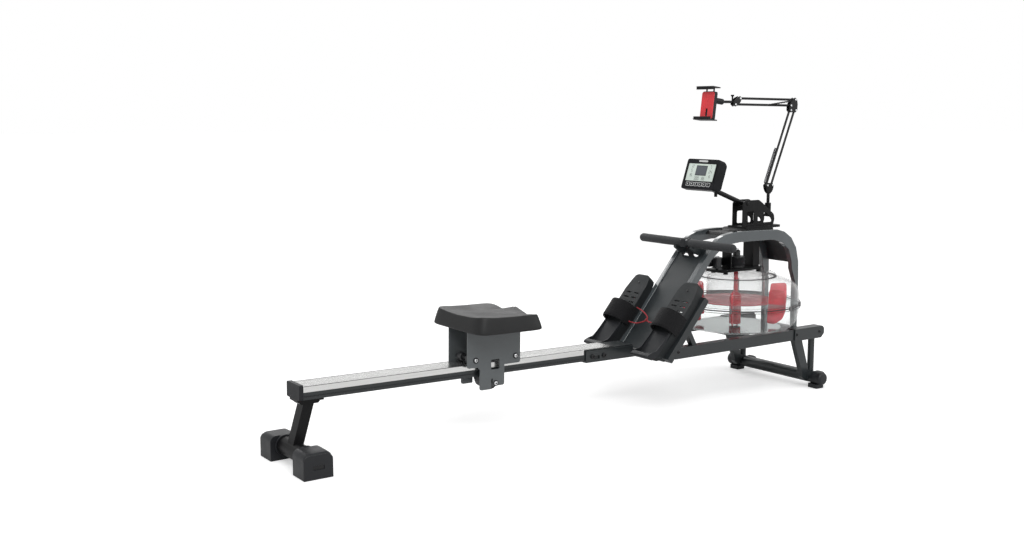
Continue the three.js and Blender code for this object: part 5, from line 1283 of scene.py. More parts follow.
@dataclass
class RailSide:
    """The rail, its end stop, its joint and the rear foot."""

    joint: tuple[tuple[float, float], ...] = ((1076, 205.5), (1126, 204.5))
    wall: float = 47.6
    cap_height: float = 0.0768
    cap_corner: float = 0.019
    cap_slot: tuple[float, float, float] = (0.037, 0.0125, 0.034)
    cap_stops: tuple[tuple[float, float], ...] = ((0.0784, 1.0), (0.1100, 1.0), (0.1464, 0.985), (0.1530, 0.93))

    def build(self) -> None:
        """Builds the pieces."""
        refine("rail_beam", Looks.PAINT, 0.0014, 3)
        refine("rail_track", Looks.RAIL, 0.0006, 2)
        refine("rail_end_stop", Looks.PLASTIC, 0.0020, 3)
        refine("rail_receiver", Looks.PAINT, 0.0010, 2)
        refine("rear_stand", Looks.ARM, 0.0014, 3)
        for side, sign in (("left", 1.0), ("right", -1.0)):
            self.cap(side, sign)
            for index, (x, z) in enumerate(self.joint, 1):
                screw(
                    f"rail_joint_bolt_{side}_{index}", Looks.BLACK_SCREW, "frame",
                    spot(x, sign * self.wall, z), (0.0, sign, 0.0), 0.0082, 0.0034,
                )
        self.lines()
        self.painted_edge_lines()

    def cap(self, side: str, sign: float) -> None:
        """A flat-topped foot cap with its hood round the cross tube and a slot in its end.

        Args:
            side: the name of its side.
            sign: +1 on the left, -1 on the right.
        """
        low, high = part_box(f"rear_cap_{side}")
        centre, half = (low[0] + high[0]) / 2, (high[0] - low[0]) / 2
        crown = [(x, z + self.cap_height / 2) for x, z in rounded(half * 2, self.cap_height, self.cap_corner) if z > 0]
        line = [(half, 0.0), *crown, (-half, 0.0)]
        shape = Shape()
        stops = [
            Matrix.Translation((centre, sign * y, low[2])) @ Matrix.Diagonal((1.0, 1.0, share, 1.0))
            for y, share in self.cap_stops
        ]
        swept(shape, stops, [(x, 0.0, z) for x, z in line], closed=True)
        shape.soften(0.0014, 2, 50.0)
        shape.piece(f"rear_cap_shell_{side}", Looks.CAP, "frame", [f"rear_cap_{side}"])
        reach, share = self.cap_stops[-1]
        place = Matrix.Translation((centre, sign * reach, low[2])) @ Matrix.Rotation(sign * math.pi / 2, 4, "Z")
        slot = [(y, z + self.cap_slot[2]) for y, z in rounded(self.cap_slot[0], self.cap_slot[1], 0.003)]
        end = sheet_cut(place, [(x, z * share) for x, z in line], 0.0030, slot, round_by=0.0009)
        end.piece(f"rear_cap_end_{side}", Looks.CAP, "frame")
        # A thin dark sheet on the slot's floor: painted shade for the slot's depth.
        dark = sheet_cut(place @ Matrix.Translation((0.0001, 0.0, 0.0)), slot, 0.0007)
        dark.piece(f"rear_cap_slot_shade_{side}", Looks.BLACK_SCREW, "frame")
        ring = [(0.0282, 0.0700), (0.0318, 0.0700), (0.0324, 0.0708), (0.0324, 0.0800), (0.0282, 0.0800)]
        hood = Shape().turn(ring, (centre, 0.0, low[2] + 0.046), (0.0, sign, 0.0), 48, closed=True)
        hood.piece(f"rear_cap_hood_{side}", Looks.CAP, "frame", sharp=30.0)

    def painted_edge_lines(self) -> None:
        """The two thin dark lines along the steel cover's top edges: painted shade and dark reflection along those
        edges.
        """
        low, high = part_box("rail_track")
        slope = math.radians(0.66)
        place = Matrix.Translation((-1.03245, 0.0, high[2])) @ Matrix.Rotation(slope, 4, "Y")
        for side, sign in (("left", 1.0), ("right", -1.0)):
            edge = sign * (high[1] - 0.0009)
            # Each is a thin dark strip and no part of the rail: painted shade and dark reflection along the cover's top
            # edge.
            line = Shape().box((0.004, edge - 0.0006, -0.0006), (1.176, edge + 0.0006, 0.0006))
            line.moved(place).piece(f"rail_edge_painted_shade_{side}", Looks.BLACK_SCREW, "frame")

    def lines(self) -> None:
        """The two long shadow lines where the steel cover laps the painted beam."""
        slope = math.radians(0.66)
        for side, sign in (("left", 1.0), ("right", -1.0)):
            line = Shape().box((0.006, sign * 0.0417 - 0.0004, -0.0312), (1.160, sign * 0.0417 + 0.0004, -0.0300))
            place = Matrix.Translation((-1.03245, 0.0, 0.244)) @ Matrix.Rotation(slope, 4, "Y")
            line.moved(place).piece(f"rail_lap_{side}", Looks.BLACK_SCREW, "frame")


@dataclass
class Seat:
    """The pad, its carriage and the rollers."""

    length: float = 0.252
    half: float = 0.153
    skirt: float = 0.050
    flare: float = 0.012
    saddle: float = 0.012
    lobe: float = 0.014
    tail: float = 0.009
    thigh: float = 0.007
    station: Spot = (0.679, 0.0, 0.1113)
    around: int = 128

    def build(self) -> None:
        """Builds the pieces."""
        self.pad()
        refine("seat_carriage", Looks.CARRIAGE, 0.0006, 2)
        axles = (
            ("roller_set_rear", -434.31, 252.41, 0.0062), ("roller_set_front", -281.32, 250.65, 0.0062),
            ("lower_roller", -359.26, 169.94, 0.0068),
        )
        for node, x, z, radius in axles:
            refine(node, Looks.ROLLER, 0.0010, 2)
            for side, sign in (("left", 1.0), ("right", -1.0)):
                seat = (x / 1000, sign * 0.0572, z / 1000)
                washer = [(0.0035, 0.0), (0.0098, 0.0), (0.0098, 0.0011), (0.0035, 0.0011)]
                ring = Shape().turn(washer, seat, (0.0, sign, 0.0), 28, closed=True)
                ring.piece(f"{node}_washer_{side}", Looks.BLACK_SCREW, "seat", sharp=30.0)
                end = (x / 1000, sign * 0.0583, z / 1000)
                screw(f"{node}_bolt_{side}", Looks.SCREW, "seat", end, (0.0, sign, 0.0), radius, 0.0034)

    def edge(self, turn: float, growth: float) -> tuple[float, float]:
        """The pad's outline from above.

        Args:
            turn: the angle round the pad.
            growth: how far outside the plain outline.

        Returns:
            The place along and across.
        """
        power = 0.25
        cos, sin = math.cos(turn), math.sin(turn)
        along = math.copysign(abs(cos) ** power, cos) * (self.length / 2 + growth)
        side = math.copysign(abs(sin) ** power, sin) * (self.half + growth)
        return along, side

    def crown(self, x: float, y: float) -> float:
        """The top's height over its rim: tail lobe, raised wings and the middle lobe."""
        along, side = x / (self.length / 2), y / self.half
        back = self.tail * max(0.0, -along) ** 2
        wings = self.saddle * side ** 2
        middle = self.lobe * math.exp(-((side / 0.22) ** 2)) * max(0.0, along + 0.15)
        thighs = self.thigh * max(0.0, along) ** 2 * math.exp(-(((abs(side) - 0.5) / 0.24) ** 2))
        return back + wings + middle - thighs - self.saddle + 0.001

    def pad(self) -> None:
        """The moulded seat pad, drawn ring by ring from its lower rim to the middle of its top."""
        shape = Shape()
        bm = shape.bm
        rings = [
            (1.0, -0.0022, 0.0), (1.0, 0.0, 0.040), (1.0, 0.0, 0.09), (1.0, -self.flare * 0.10, 0.22),
            (1.0, -self.flare * 0.28, 0.40), (1.0, -self.flare * 0.50, 0.60), (1.0, -self.flare * 0.72, 0.78),
            (1.0, -self.flare * 0.88, 0.91), (0.999, -self.flare * 0.96, 0.965), (0.991, -self.flare, 1.0),
            (0.976, -self.flare, 1.012), (0.955, -self.flare, 1.012),
        ]
        rings += [(share / 100, -self.flare, -1.0) for share in (91, 86, 80, 74, 66, 58, 50, 42, 34, 26, 18, 10, 4)]
        turns = [math.tau * k / self.around for k in range(self.around)]
        circle = bmesh.ops.create_circle(bm, cap_ends=True, segments=self.around, radius=1.0)["verts"]
        circle = sorted(circle, key=lambda vert: math.atan2(vert.co.y, vert.co.x) % math.tau)
        edges = [edge for edge in bm.edges]
        row = circle

        def place(vert: bmesh.types.BMVert, turn: float, ring: tuple[float, float, float]) -> None:
            """Moves one vertex of a ring to the pad's surface."""
            share, growth, rise = ring
            x, y = self.edge(turn, growth)
            x, y = x * share, y * share
            level = (self.skirt + self.crown(x, y)) * rise
            if rise < 0:
                level = self.skirt + self.crown(x, y) * 1.03 + 0.003 * min(1.0, (0.97 - share) / 0.12)
            vert.co = Vector((x, y, level))

        for ring in rings:
            if ring is not rings[0]:
                made = bmesh.ops.extrude_edge_only(bm, edges=edges)["geom"]
                fresh = {item for item in made if isinstance(item, bmesh.types.BMVert)}
                edges = [item for item in made if isinstance(item, bmesh.types.BMEdge) and fresh.issuperset(item.verts)]
                old = {vert: turn for vert, turn in zip(row, turns)}
                order = {}
                for vert in fresh:
                    mate = next(edge.other_vert(vert) for edge in vert.link_edges if edge.other_vert(vert) in old)
                    order[vert] = old[mate]
                row = sorted(fresh, key=lambda vert: order[vert])
            for vert, turn in zip(row, turns):
                place(vert, turn, ring)
        bmesh.ops.contextual_create(bm, geom=edges)
        line = Matrix.Translation((-1.03245, 0.0, 0.244)) @ Matrix.Rotation(math.radians(0.66), 4, "Y")
        shape.moved(line @ Matrix.Translation(self.station))
        shape.merge()
        made = shape.piece("seat_cushion", Looks.PAD, "seat", ["seat_pad"], sharp=80.0, weighted=False)


@dataclass
class FrontFrame:
    """The lower beams, the stand, its caps and wheels, and the cradle."""

    bolts: tuple[tuple[float, float], ...] = ((1929, 211.0), (2052, 211.5), (1338, 214.0))
    wheel: Spot = (1.05055, 0.177, 0.0285)

    def build(self) -> None:
        """Builds the pieces."""
        for side, sign in (("left", 1.0), ("right", -1.0)):
            refine(f"lower_beam_{side}", Looks.PAINT, 0.0016, 3)
            refine(f"front_cap_{side}", Looks.CAP, 0.0022, 3)
            self.transport_wheel(side, sign)
            for index, (x, z) in enumerate(self.bolts, 1):
                wall = 190.2 if index == 3 else 195.2
                screw(
                    f"beam_bolt_{side}_{index}", Looks.BLACK_SCREW, "frame", spot(x, sign * wall, z),
                    (0.0, sign, 0.0), 0.0058, 0.0028,
                )
        refine("front_stand", Looks.PAINT, 0.0014, 3)
        refine("tank_cradle", Looks.PAINT, 0.0008, 2)

    def transport_wheel(self, side: str, sign: float) -> None:
        """A rubber tyre with two grooves on a plastic hub.

        Args:
            side: the name of its side.
            sign: +1 on the left, -1 on the right.
        """
        x, y, z = self.wheel
        centre = (x, sign * y, z)
        body = f"wheel_{side}"
        tyre = [
            (0.0165, -0.0130), (0.0215, -0.0130), (0.0234, -0.0118), (0.0239, -0.0060), (0.0229, -0.0052),
            (0.0229, -0.0038), (0.0240, -0.0030), (0.0240, 0.0030), (0.0229, 0.0038), (0.0229, 0.0052),
            (0.0239, 0.0060), (0.0234, 0.0118), (0.0215, 0.0130), (0.0165, 0.0130),
        ]
        tread = Shape().turn(tyre, centre, (0.0, 1.0, 0.0), 64, closed=True)
        tread.piece(f"transport_tyre_{side}", Looks.RUBBER, body, [f"transport_wheel_{side}"], sharp=34.0)
        hub = [
            (0.0045, -0.0110), (0.0090, -0.0110), (0.0100, -0.0070), (0.0140, -0.0070), (0.0164, -0.0118),
            (0.0164, 0.0118), (0.0140, 0.0070), (0.0100, 0.0070), (0.0090, 0.0110), (0.0045, 0.0110),
        ]
        core = Shape().turn(hub, centre, (0.0, 1.0, 0.0), 48, closed=True)
        core.piece(f"transport_hub_{side}", Looks.CAP, body, sharp=30.0)
        axle = Shape().rod((x, sign * 0.1602, z), (x, sign * 0.1940, z), 0.0040, 24, round_by=0.0006)
        axle.piece(f"transport_axle_{side}", Looks.SCREW, "frame")


@dataclass
class Arches:
    """The two side arches, the foot board and the fender between them."""

    def build(self) -> None:
        """Builds the pieces."""
        for side in ("left", "right"):
            refine(f"arch_{side}", Looks.ARCH, 0.0014, 3, 30.0)
        refine("foot_board", Looks.BOARD, 0.0010, 2)
        refine("front_fender", Looks.BOARD, 0.0008, 2)


@dataclass
class Feet:
    """The foot plates, the heel cups and the straps over them."""

    middle: float = 129.0
    start: float = 77.0
    width: float = 70.0
    arch: tuple[tuple[float, float], ...] = (
        (-52.8, 13), (-52.8, 24), (-52.6, 34), (-49.0, 48), (-40.0, 60), (-26.0, 69), (-10.0, 74), (6.0, 75.5),
        (22.0, 73), (36.0, 66), (46.5, 54), (52.0, 40), (52.8, 28), (52.8, 13),
    )

    def build(self) -> None:
        """Builds the pieces."""
        for side, sign in (("left", 1.0), ("right", -1.0)):
            refine(f"footplate_{side}", Looks.TREAD, 0.0014, 2)
            refine(f"heel_slider_{side}", Looks.PLASTIC, 0.0014, 2)
            self.strap(side, sign)
            for index, along in enumerate((20, 250), 1):
                screw(
                    f"footplate_screw_{side}_{index}", Looks.BLACK_SCREW, "frame",
                    climb(along, sign * self.middle, 32.0), self.out, 0.0046, 0.0016,
                )

    @property
    def out(self) -> Spot:
        """The direction off the board's face."""
        return (-math.sin(CLIMB), 0.0, math.cos(CLIMB))

    def strap(self, side: str, sign: float) -> None:
        """The woven band over the foot, its bound edges and its overlap.

        Args:
            side: the name of its side.
            sign: +1 on the left, -1 on the right.
        """
        along = Vector((math.cos(CLIMB), 0.0, math.sin(CLIMB)))
        centre = self.start + self.width / 2
        line = flow([climb(centre, sign * (self.middle + y), off) for y, off in self.arch], 6)
        sides = [along] * len(line)
        tape(
            f"foot_band_{side}", Looks.WEBBING, "frame", line, sides, self.width / 1000, 0.0030,
            [f"foot_strap_{side}"],
        )
        lift = [
            climb(centre, sign * (self.middle + y), off + 2.4) for y, off in self.arch[4:11]
        ]
        tape(
            f"foot_band_flap_{side}", Looks.WEBBING, "frame", flow(lift, 6), [along] * len(flow(lift, 6)),
            self.width / 1000 * 0.92, 0.0014,
        )
        for edge, shift in (("low", -1.0), ("high", 1.0)):
            rim = flow([
                climb(centre + shift * self.width / 2, sign * (self.middle + y), off) for y, off in self.arch
            ], 6)
            tube(f"foot_band_binding_{edge}_{side}", Looks.WEBBING, "frame", rim, 0.0019, sides=10)


@dataclass
class Tank:
    """The clear tank, its lid, the water and the red paddles."""

    axis: Spot = (0.77155, 0.0, 0.0)
    bowl: tuple[tuple[float, float], ...] = (
        (170.0, 229.4), (176.0, 229.4), (186.0, 230.2), (200.0, 234.6), (212.0, 243.0), (223.0, 257.1),
        (229.0, 270.0), (233.4, 285.6), (236.0, 299.0), (237.0, 309.5), (237.2, 314.8), (238.9, 315.4), (239.0, 316.4),
        (239.0, 322.6), (233.2, 322.6), (233.0, 309.0), (232.0, 299.0), (229.4, 286.4), (225.0, 271.0), (219.0, 258.4),
        (208.4, 245.0), (197.0, 237.4), (184.0, 233.8), (176.0, 233.3), (170.0, 233.3),
    )
    dome: tuple[tuple[float, float], ...] = (
        (233.2, 323.4), (239.0, 323.4), (239.0, 329.8), (238.0, 331.0), (237.0, 331.6), (236.4, 343.0), (236.0, 355.4),
        (233.0, 372.0), (227.0, 388.7), (216.0, 400.0), (201.4, 408.4), (184.0, 415.6), (168.0, 421.2), (158.0, 423.6),
        (150.0, 423.9), (130.2, 423.9), (130.2, 420.2), (152.0, 420.0), (166.0, 417.4), (182.0, 411.8), (199.4, 404.4),
        (213.0, 396.6), (223.2, 386.4), (229.0, 370.6), (232.0, 354.6), (232.6, 342.0), (233.2, 331.0),
    )
    lid: tuple[tuple[float, float], ...] = (
        (9.2, 424.4), (105.0, 424.4), (105.0, 345.4), (106.0, 345.0), (108.6, 345.0), (109.0, 345.6), (109.0, 421.0),
        (110.0, 424.4), (147.0, 424.4), (148.0, 425.4), (148.0, 431.0), (146.6, 434.4), (143.6, 436.0), (9.2, 436.0),
    )
    water: float = 331.0
    clips: int = 12

    def build(self) -> None:
        """Builds the pieces."""
        self.shells()
        self.seam()
        self.content()
        refine("impeller", Looks.BLADE, 0.0009, 2)

    def turned(self, line: Sequence[tuple[float, float]], closed: bool = True) -> Shape:
        """A solid turned about the tank's axis from a line in millimetres."""
        profile = [(radius / 1000, height / 1000) for radius, height in line]
        return Shape().turn(profile, self.axis, (0.0, 0.0, 1.0), 128, closed)

    def shells(self) -> None:
        """The bowl, the dome and the lid with its baffle."""
        self.turned(self.bowl).piece(
            "tank_bowl_shell", Looks.SHELL, "frame", ["tank_bowl"], sharp=40.0, weighted=False,
        )
        floor = [(0.0, 229.4), (169.98, 229.4), (169.98, 233.3), (0.0, 233.3)]
        self.turned(floor, closed=False).piece("tank_floor", Looks.FLOOR, "frame", sharp=40.0)
        self.turned(self.dome).piece(
            "tank_dome_shell", Looks.SHELL, "frame", ["tank_dome"], sharp=40.0, weighted=False,
        )
        self.turned(self.lid).piece(
            "tank_lid_shell", Looks.LID, "frame", ["tank_lid"], sharp=40.0, weighted=False,
        )

    def seam(self) -> None:
        """The dark gaskets at the seam and under the lid, with the screws that hold them, and two thin dark rings at
        the flanges' edges that are painted dark reflection.
        """
        gasket = [(233.0, 321.4), (239.6, 321.4), (240.1, 321.9), (240.1, 324.1), (239.6, 324.6), (233.0, 324.6)]
        self.turned(gasket).piece("tank_seam_gasket", Looks.GASKET, "frame", sharp=40.0)
        # These two rings are no gaskets: thin dark rings at the flanges' edges, painted dark reflection.
        for name, height in (("low", 315.2), ("high", 330.4)):
            line = [(236.2, height - 0.5), (239.5, height - 0.5), (239.9, height), (239.5, height + 0.7)]
            self.turned([*line, (236.2, height + 0.7)]).piece(f"tank_flange_painted_reflection_{name}", Looks.GASKET, "frame", sharp=40.0)
        ring = [(139.0, 423.7), (150.2, 423.7), (150.6, 424.2), (150.2, 425.1), (139.0, 425.1)]
        self.turned(ring).piece("lid_gasket", Looks.GASKET, "frame", sharp=40.0)
        for index in range(self.clips):
            turn = Matrix.Rotation(math.tau * (index + 0.35) / self.clips, 4, "Z")
            at = Matrix.Translation(self.axis) @ turn
            jaw = Shape().box((0.2345, -0.0042, 0.3150), (0.2408, 0.0042, 0.3312), 0.0010, 2).moved(at)
            jaw.piece(f"seam_clip_{index + 1}", Looks.CLIP, "frame")
            head = at @ Vector((0.1425, 0.0, 0.4360))
            screw(f"lid_screw_{index + 1}", Looks.SCREW, "frame", tuple(head), (0.0, 0.0, 1.0), 0.0034, 0.0020)

    def content(self) -> None:
        """The water: its body against the bowl and the bright skin at its level."""
        outer = [
            (0.0, 233.9), (176.0, 233.9), (184.0, 234.4), (196.4, 238.0), (207.8, 245.8), (218.2, 259.0), (224.2, 271.4),
            (228.6, 286.8), (230.6, 299.0), (231.0, 309.0), (231.0, self.water - 0.6), (229.8, self.water),
        ]
        self.turned([*outer, (0.0, self.water)], closed=False).piece(
            "tank_water_body", Looks.WATER, "frame", ["tank_water"], sharp=40.0, weighted=False,
        )
        skin = [(8.0, self.water + 0.2), (230.4, self.water + 0.2), (230.4, self.water + 0.7), (8.0, self.water + 0.7)]
        self.turned(skin).piece("tank_water_skin", Looks.SKIN, "frame", sharp=40.0, weighted=False)


@dataclass
class Drive:
    """The drum, the guide pulley and the bridge that carries them."""

    drum: Spot = (0.77155, 0.0, 0.0)
    guide: Spot = (0.67155, 0.0, 0.0)

    def build(self) -> None:
        """Builds the pieces."""
        refine("drive_bracket", Looks.ARM, 0.0006, 2)
        refine("drive_drum", Looks.ROLLER, 0.0006, 2)
        refine("guide_pulley", Looks.ROLLER, 0.0006, 2)
        wound = [
            (0.0272, 0.4620), (0.0304, 0.4624), (0.0309, 0.4640), (0.0305, 0.4770), (0.0309, 0.4900), (0.0304, 0.4916),
            (0.0272, 0.4920),
        ]
        band = Shape().turn(wound, self.drum, (0.0, 0.0, 1.0), 72, closed=True)
        plan = band.bm.loops.layers.uv.new("tape")
        for face in band.bm.faces:
            for loop in face.loops:
                offset = loop.vert.co - Vector(self.drum)
                loop[plan].uv = (math.atan2(offset.y, offset.x) * 0.030, offset.z)
        band.piece("drum_winding", Looks.PULL_WEBBING, "drum", sharp=40.0, weighted=False)
        for name, axis, height, body in (
            ("drum", self.drum, 0.5200, "drum"), ("guide", self.guide, 0.4980, "frame"),
        ):
            nut = Shape().rod(
                (axis[0], axis[1], height), (axis[0], axis[1], height + 0.0050), 0.0075, 6, round_by=0.0007,
            )
            nut.piece(f"{name}_nut", Looks.SCREW, body, sharp=25.0)


@dataclass
class Console:
    """The console with its display and keys, its arm and its bracket."""

    width: float = 0.166
    height: float = 0.114
    screen: tuple[float, float, float] = (0.140, 0.066, 0.0305)
    key: tuple[float, float] = (0.016, 0.010)
    pitch: float = 0.021
    key_middle: float = 0.019
    segments: tuple[str, ...] = ("abcdef", "bc", "abged", "abgcd", "fgbc", "afgcd", "afgedc", "abc", "abcdefg", "abcdfg")

    @property
    def place(self) -> Matrix:
        """The frame of the console's face, with its depth along X."""
        return Matrix.Translation(spot(1587, 0, 755)) @ Matrix.Rotation(math.radians(18.4), 4, "Y")

    def build(self) -> None:
        """Builds the pieces."""
        refine("console_housing", Looks.CONSOLE, 0.0016, 3)
        refine("console_arm", Looks.ARM, 0.0008, 2)
        refine("console_bracket", Looks.ARM, 0.0012, 2)
        self.bezel()
        self.display()
        self.keys()
        for side, sign in (("left", 1.0), ("right", -1.0)):
            screw(
                f"console_pivot_bolt_{side}", Looks.BLACK_SCREW, "frame", spot(1826, sign * 27.9, 693),
                (0.0, sign, 0.0), 0.0068, 0.0036,
            )

    def bezel(self) -> None:
        """The gloss frame round the display and the bare field over it."""
        wide, high, low = self.screen
        middle = low + high / 2
        outline = [(y, z + middle) for y, z in rounded(wide + 0.010, high + 0.007, 0.0035)]
        window = [(y, z + middle) for y, z in rounded(wide - 0.001, high - 0.001, 0.0015)]
        frame_place = self.place @ Matrix.Translation((-0.0012, 0.0, 0.0))
        sheet_cut(frame_place, outline, 0.0014, window).piece("display_bezel", Looks.BEZEL, "console")
        field_line = [(y, z + self.height - 0.0078) for y, z in rounded(0.046, 0.0066, 0.0026)]
        sheet_cut(self.place @ Matrix.Translation((-0.0003, 0.0, 0.0)), field_line, 0.0004).piece(
            "bare_field", Looks.PRINT, "console",
        )

    def display(self) -> None:
        """The display's pale ground, its inner window, its digits and its marks."""
        wide, high, low = self.screen
        middle = low + high / 2
        ground = [(y, z + middle) for y, z in rounded(wide - 0.0008, high - 0.0008, 0.0015)]
        sheet_cut(self.place @ Matrix.Translation((-0.0006, 0.0, 0.0)), ground, 0.0012).piece(
            "display_ground", Looks.DISPLAY, "console",
        )
        ink = self.place @ Matrix.Translation((-0.00074, 0.0, 0.0))
        frame_line = [(y - 0.001, z + middle + 0.007) for y, z in rounded(0.056, 0.038, 0.001)]
        inner = [(y - 0.001, z + middle + 0.007) for y, z in rounded(0.051, 0.033, 0.001)]
        sheet_cut(ink, frame_line, 0.0002, inner).piece("display_window", Looks.DIGIT, "console")
        sheet_cut(ink, inner, 0.0002).piece("display_shade", Looks.SHADE, "console")
        marks = Shape()
        rows = (
            ("12", 0.0480, middle + 0.0220, 0.0100), ("5", 0.0480, middle + 0.0060, 0.0110),
            ("36", 0.0480, middle - 0.0110, 0.0100), ("7", -0.0460, middle + 0.0210, 0.0120),
            ("24", -0.0480, middle + 0.0030, 0.0110), ("8", -0.0480, middle - 0.0140, 0.0100),
            ("300", 0.0160, middle - 0.0225, 0.0120), ("86", -0.0180, middle - 0.0225, 0.0120),
        )
        for text, y, z, tall in rows:
            for index, sign in enumerate(text):
                centre = y + (len(text) / 2 - index - 0.5) * tall * 0.72
                self.digit(marks, int(sign), centre, z, tall)
        marks.moved(ink).piece("display_digits", Looks.DIGIT, "console", weighted=False)

    def digit(self, shape: Shape, value: int, y: float, z: float, tall: float) -> None:
        """Adds one seven-segment digit.

        Args:
            shape: the shape that gets it.
            value: the digit.
            y: its middle across, to the left.
            z: its middle up the face.
            tall: its height.
        """
        half, bar = tall * 0.25, tall * 0.055
        up = tall / 2
        places = {
            "a": (0.0, up, half, bar), "g": (0.0, 0.0, half, bar), "d": (0.0, -up, half, bar),
            "f": (half, up / 2, bar, up / 2), "b": (-half, up / 2, bar, up / 2),
            "e": (half, -up / 2, bar, up / 2), "c": (-half, -up / 2, bar, up / 2),
        }
        for name in self.segments[value]:
            dy, dz, wide, high = places[name]
            shape.box(
                (0.0, y + dy - wide * 0.86, z + dz - high * 0.86), (0.0002, y + dy + wide * 0.86, z + dz + high * 0.86),
            )

    def keys(self) -> None:
        """The six keys, each with a printed ring and a mark of its own."""
        for index in range(1, 7):
            name, body = f"console_button_{index}", f"key_{index}"
            low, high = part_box(name)
            refine(name, Looks.KEY, 0.0006, 2)
            y = (low[1] + high[1]) / 2
            face = self.place @ Matrix.Translation((-0.0002, y, self.key_middle))
            ring = rounded(self.pitch - 0.0012, self.key[1] + 0.0052, 0.0044)
            gap = rounded(self.pitch - 0.0040, self.key[1] + 0.0014, 0.0034)
            sheet_cut(face, ring, 0.0003, gap).piece(f"key_ring_{index}", Looks.PRINT, "console")
            mark = [
                (0.0030 * math.cos(math.tau * k / (2 + index)), 0.0024 * math.sin(math.tau * k / (2 + index)))
                for k in range(2 + index)
            ]
            top = self.place @ Matrix.Translation((-0.0017, y, self.key_middle))
            sheet_cut(top, mark, 0.0003).piece(f"key_mark_{index}", Looks.PRINT, body)


@dataclass
class DeviceArm:
    """The arm for a phone: bars, springs, elbow, head and clamp."""

    bar: float = 0.0045
    lower_rear: tuple[float, float] = (1948.5, 757.0)
    lower_front: tuple[float, float] = (1975.5, 757.0)
    lower_span: tuple[float, float] = (117.0, 283.0)
    upper_low: tuple[float, float] = (2065.5, 1058.0)
    upper_high: tuple[float, float] = (2089.5, 1080.0)
    upper_span: tuple[float, float] = (-298.0, 3.0)
    spring_offset: float = 10.6
    spring_radius: float = 4.0
    spring_span: tuple[float, float] = (0.03, 0.47)
    spring_turns: int = 46
    stay_span: tuple[float, float] = (0.46, 0.02)

    def build(self) -> None:
        """Builds the pieces."""
        for node in ("arm_base", "arm_elbow", "arm_head"):
            refine(node, Looks.ARM, 0.0005, 2)
        for node, start, span in (
            ("lower_bar_rear", self.lower_rear, self.lower_span), ("lower_bar_front", self.lower_front, self.lower_span),
            ("upper_bar_top", self.upper_high, self.upper_span), ("upper_bar_bottom", self.upper_low, self.upper_span),
        ):
            refine(node, Looks.ARM, 0.0003, 1)
            self.ends(node, start, span)
        self.spring()
        self.stay()
        self.clamp()

    def spring(self) -> None:
        """The close-wound pull spring behind the lower rear bar."""
        along = Vector((self.lower_span[0], 0.0, self.lower_span[1]))
        unit = along.normalized()
        out = Vector((-unit.z, 0.0, unit.x))
        start = Vector((self.lower_rear[0], 0.0, self.lower_rear[1])) + out * self.spring_offset
        low, high = (share * along.length for share in self.spring_span)
        steps = self.spring_turns * 12
        line = []
        for step in range(steps + 1):
            turn = math.tau * step / 12
            side = out * math.cos(turn) + Vector((0.0, 1.0, 0.0)) * math.sin(turn)
            line.append(Vector(spot(*(start + unit * (low + (high - low) * step / steps) + side * self.spring_radius))))
        tube("lower_spring", Looks.SPRING, body_of("arm_spring"), line, 0.00105, ["arm_spring"], 8)

    def stay(self) -> None:
        """The rod inside the upper pull spring, from its lug to the elbow."""
        root = [self.upper_low[k] + self.upper_span[k] * self.stay_span[0] for k in (0, 1)]
        tip = [self.upper_low[k] + self.upper_span[k] * self.stay_span[1] for k in (0, 1)]
        rod = Shape().rod(spot(root[0], -14.0, root[1]), spot(tip[0], -14.0, tip[1] + 17.0), 0.0024, 16)
        rod.piece("upper_spring_rod", Looks.ARM, body_of("upper_bar_bottom"))

    def ends(self, node: str, start: tuple[float, float], span: tuple[float, float]) -> None:
        """The rivet heads at both ends of a bar.

        Args:
            node: the bar.
            start: its first pivot along and up, in bench millimetres.
            span: the way to its second pivot.
        """
        for end, share in (("near", 0.0), ("far", 1.0)):
            x, z = start[0] + span[0] * share, start[1] + span[1] * share
            for side, sign in (("left", 1.0), ("right", -1.0)):
                screw(
                    f"{node}_rivet_{end}_{side}", Looks.SCREW, body_of(node), spot(x, sign * 9.3, z),
                    (0.0, sign, 0.0), 0.0040, 0.0018,
                )

    def clamp(self) -> None:
        """The phone clamp: a black carrier with a red face, and its black jaws with pads."""
        place = Matrix.Translation(spot(1640, 0, 1055)) @ Matrix.Rotation(math.radians(7.0), 4, "Y")
        refine("phone_clamp", Looks.CLAMP_PAD, 0.0012, 2)
        refine("clamp_jaw", Looks.CLAMP_PAD, 0.0008, 2)
        outline = rounded(0.0622, 0.0990, 0.0072)
        slot = [(y, z - 0.0245) for y, z in rounded(0.0100, 0.0300, 0.0049)]
        sheet_cut(place @ Matrix.Translation((-0.0095, 0.0, 0.0)), outline, 0.0021, slot, round_by=0.0005).piece(
            "clamp_face", Looks.CLAMP, "phone_holder",
        )
        for name, body, height, sign in (
            ("clamp_foot_pad", "phone_holder", -0.0490, 1.0), ("clamp_jaw_pad", "phone_jaw", 0.0645, -1.0),
        ):
            low = (-0.0340, -0.0400, height - 0.0008)
            high = (-0.0120, 0.0400, height + 0.0008)
            ribs = Shape()
            for index in range(9):
                y = -0.0400 + index * 0.0100
                ribs.box((low[0], y - 0.0018, low[2]), (high[0], y + 0.0018, high[2]), 0.0006, 2)
            ribs.moved(place).piece(name, Looks.RUBBER, body)


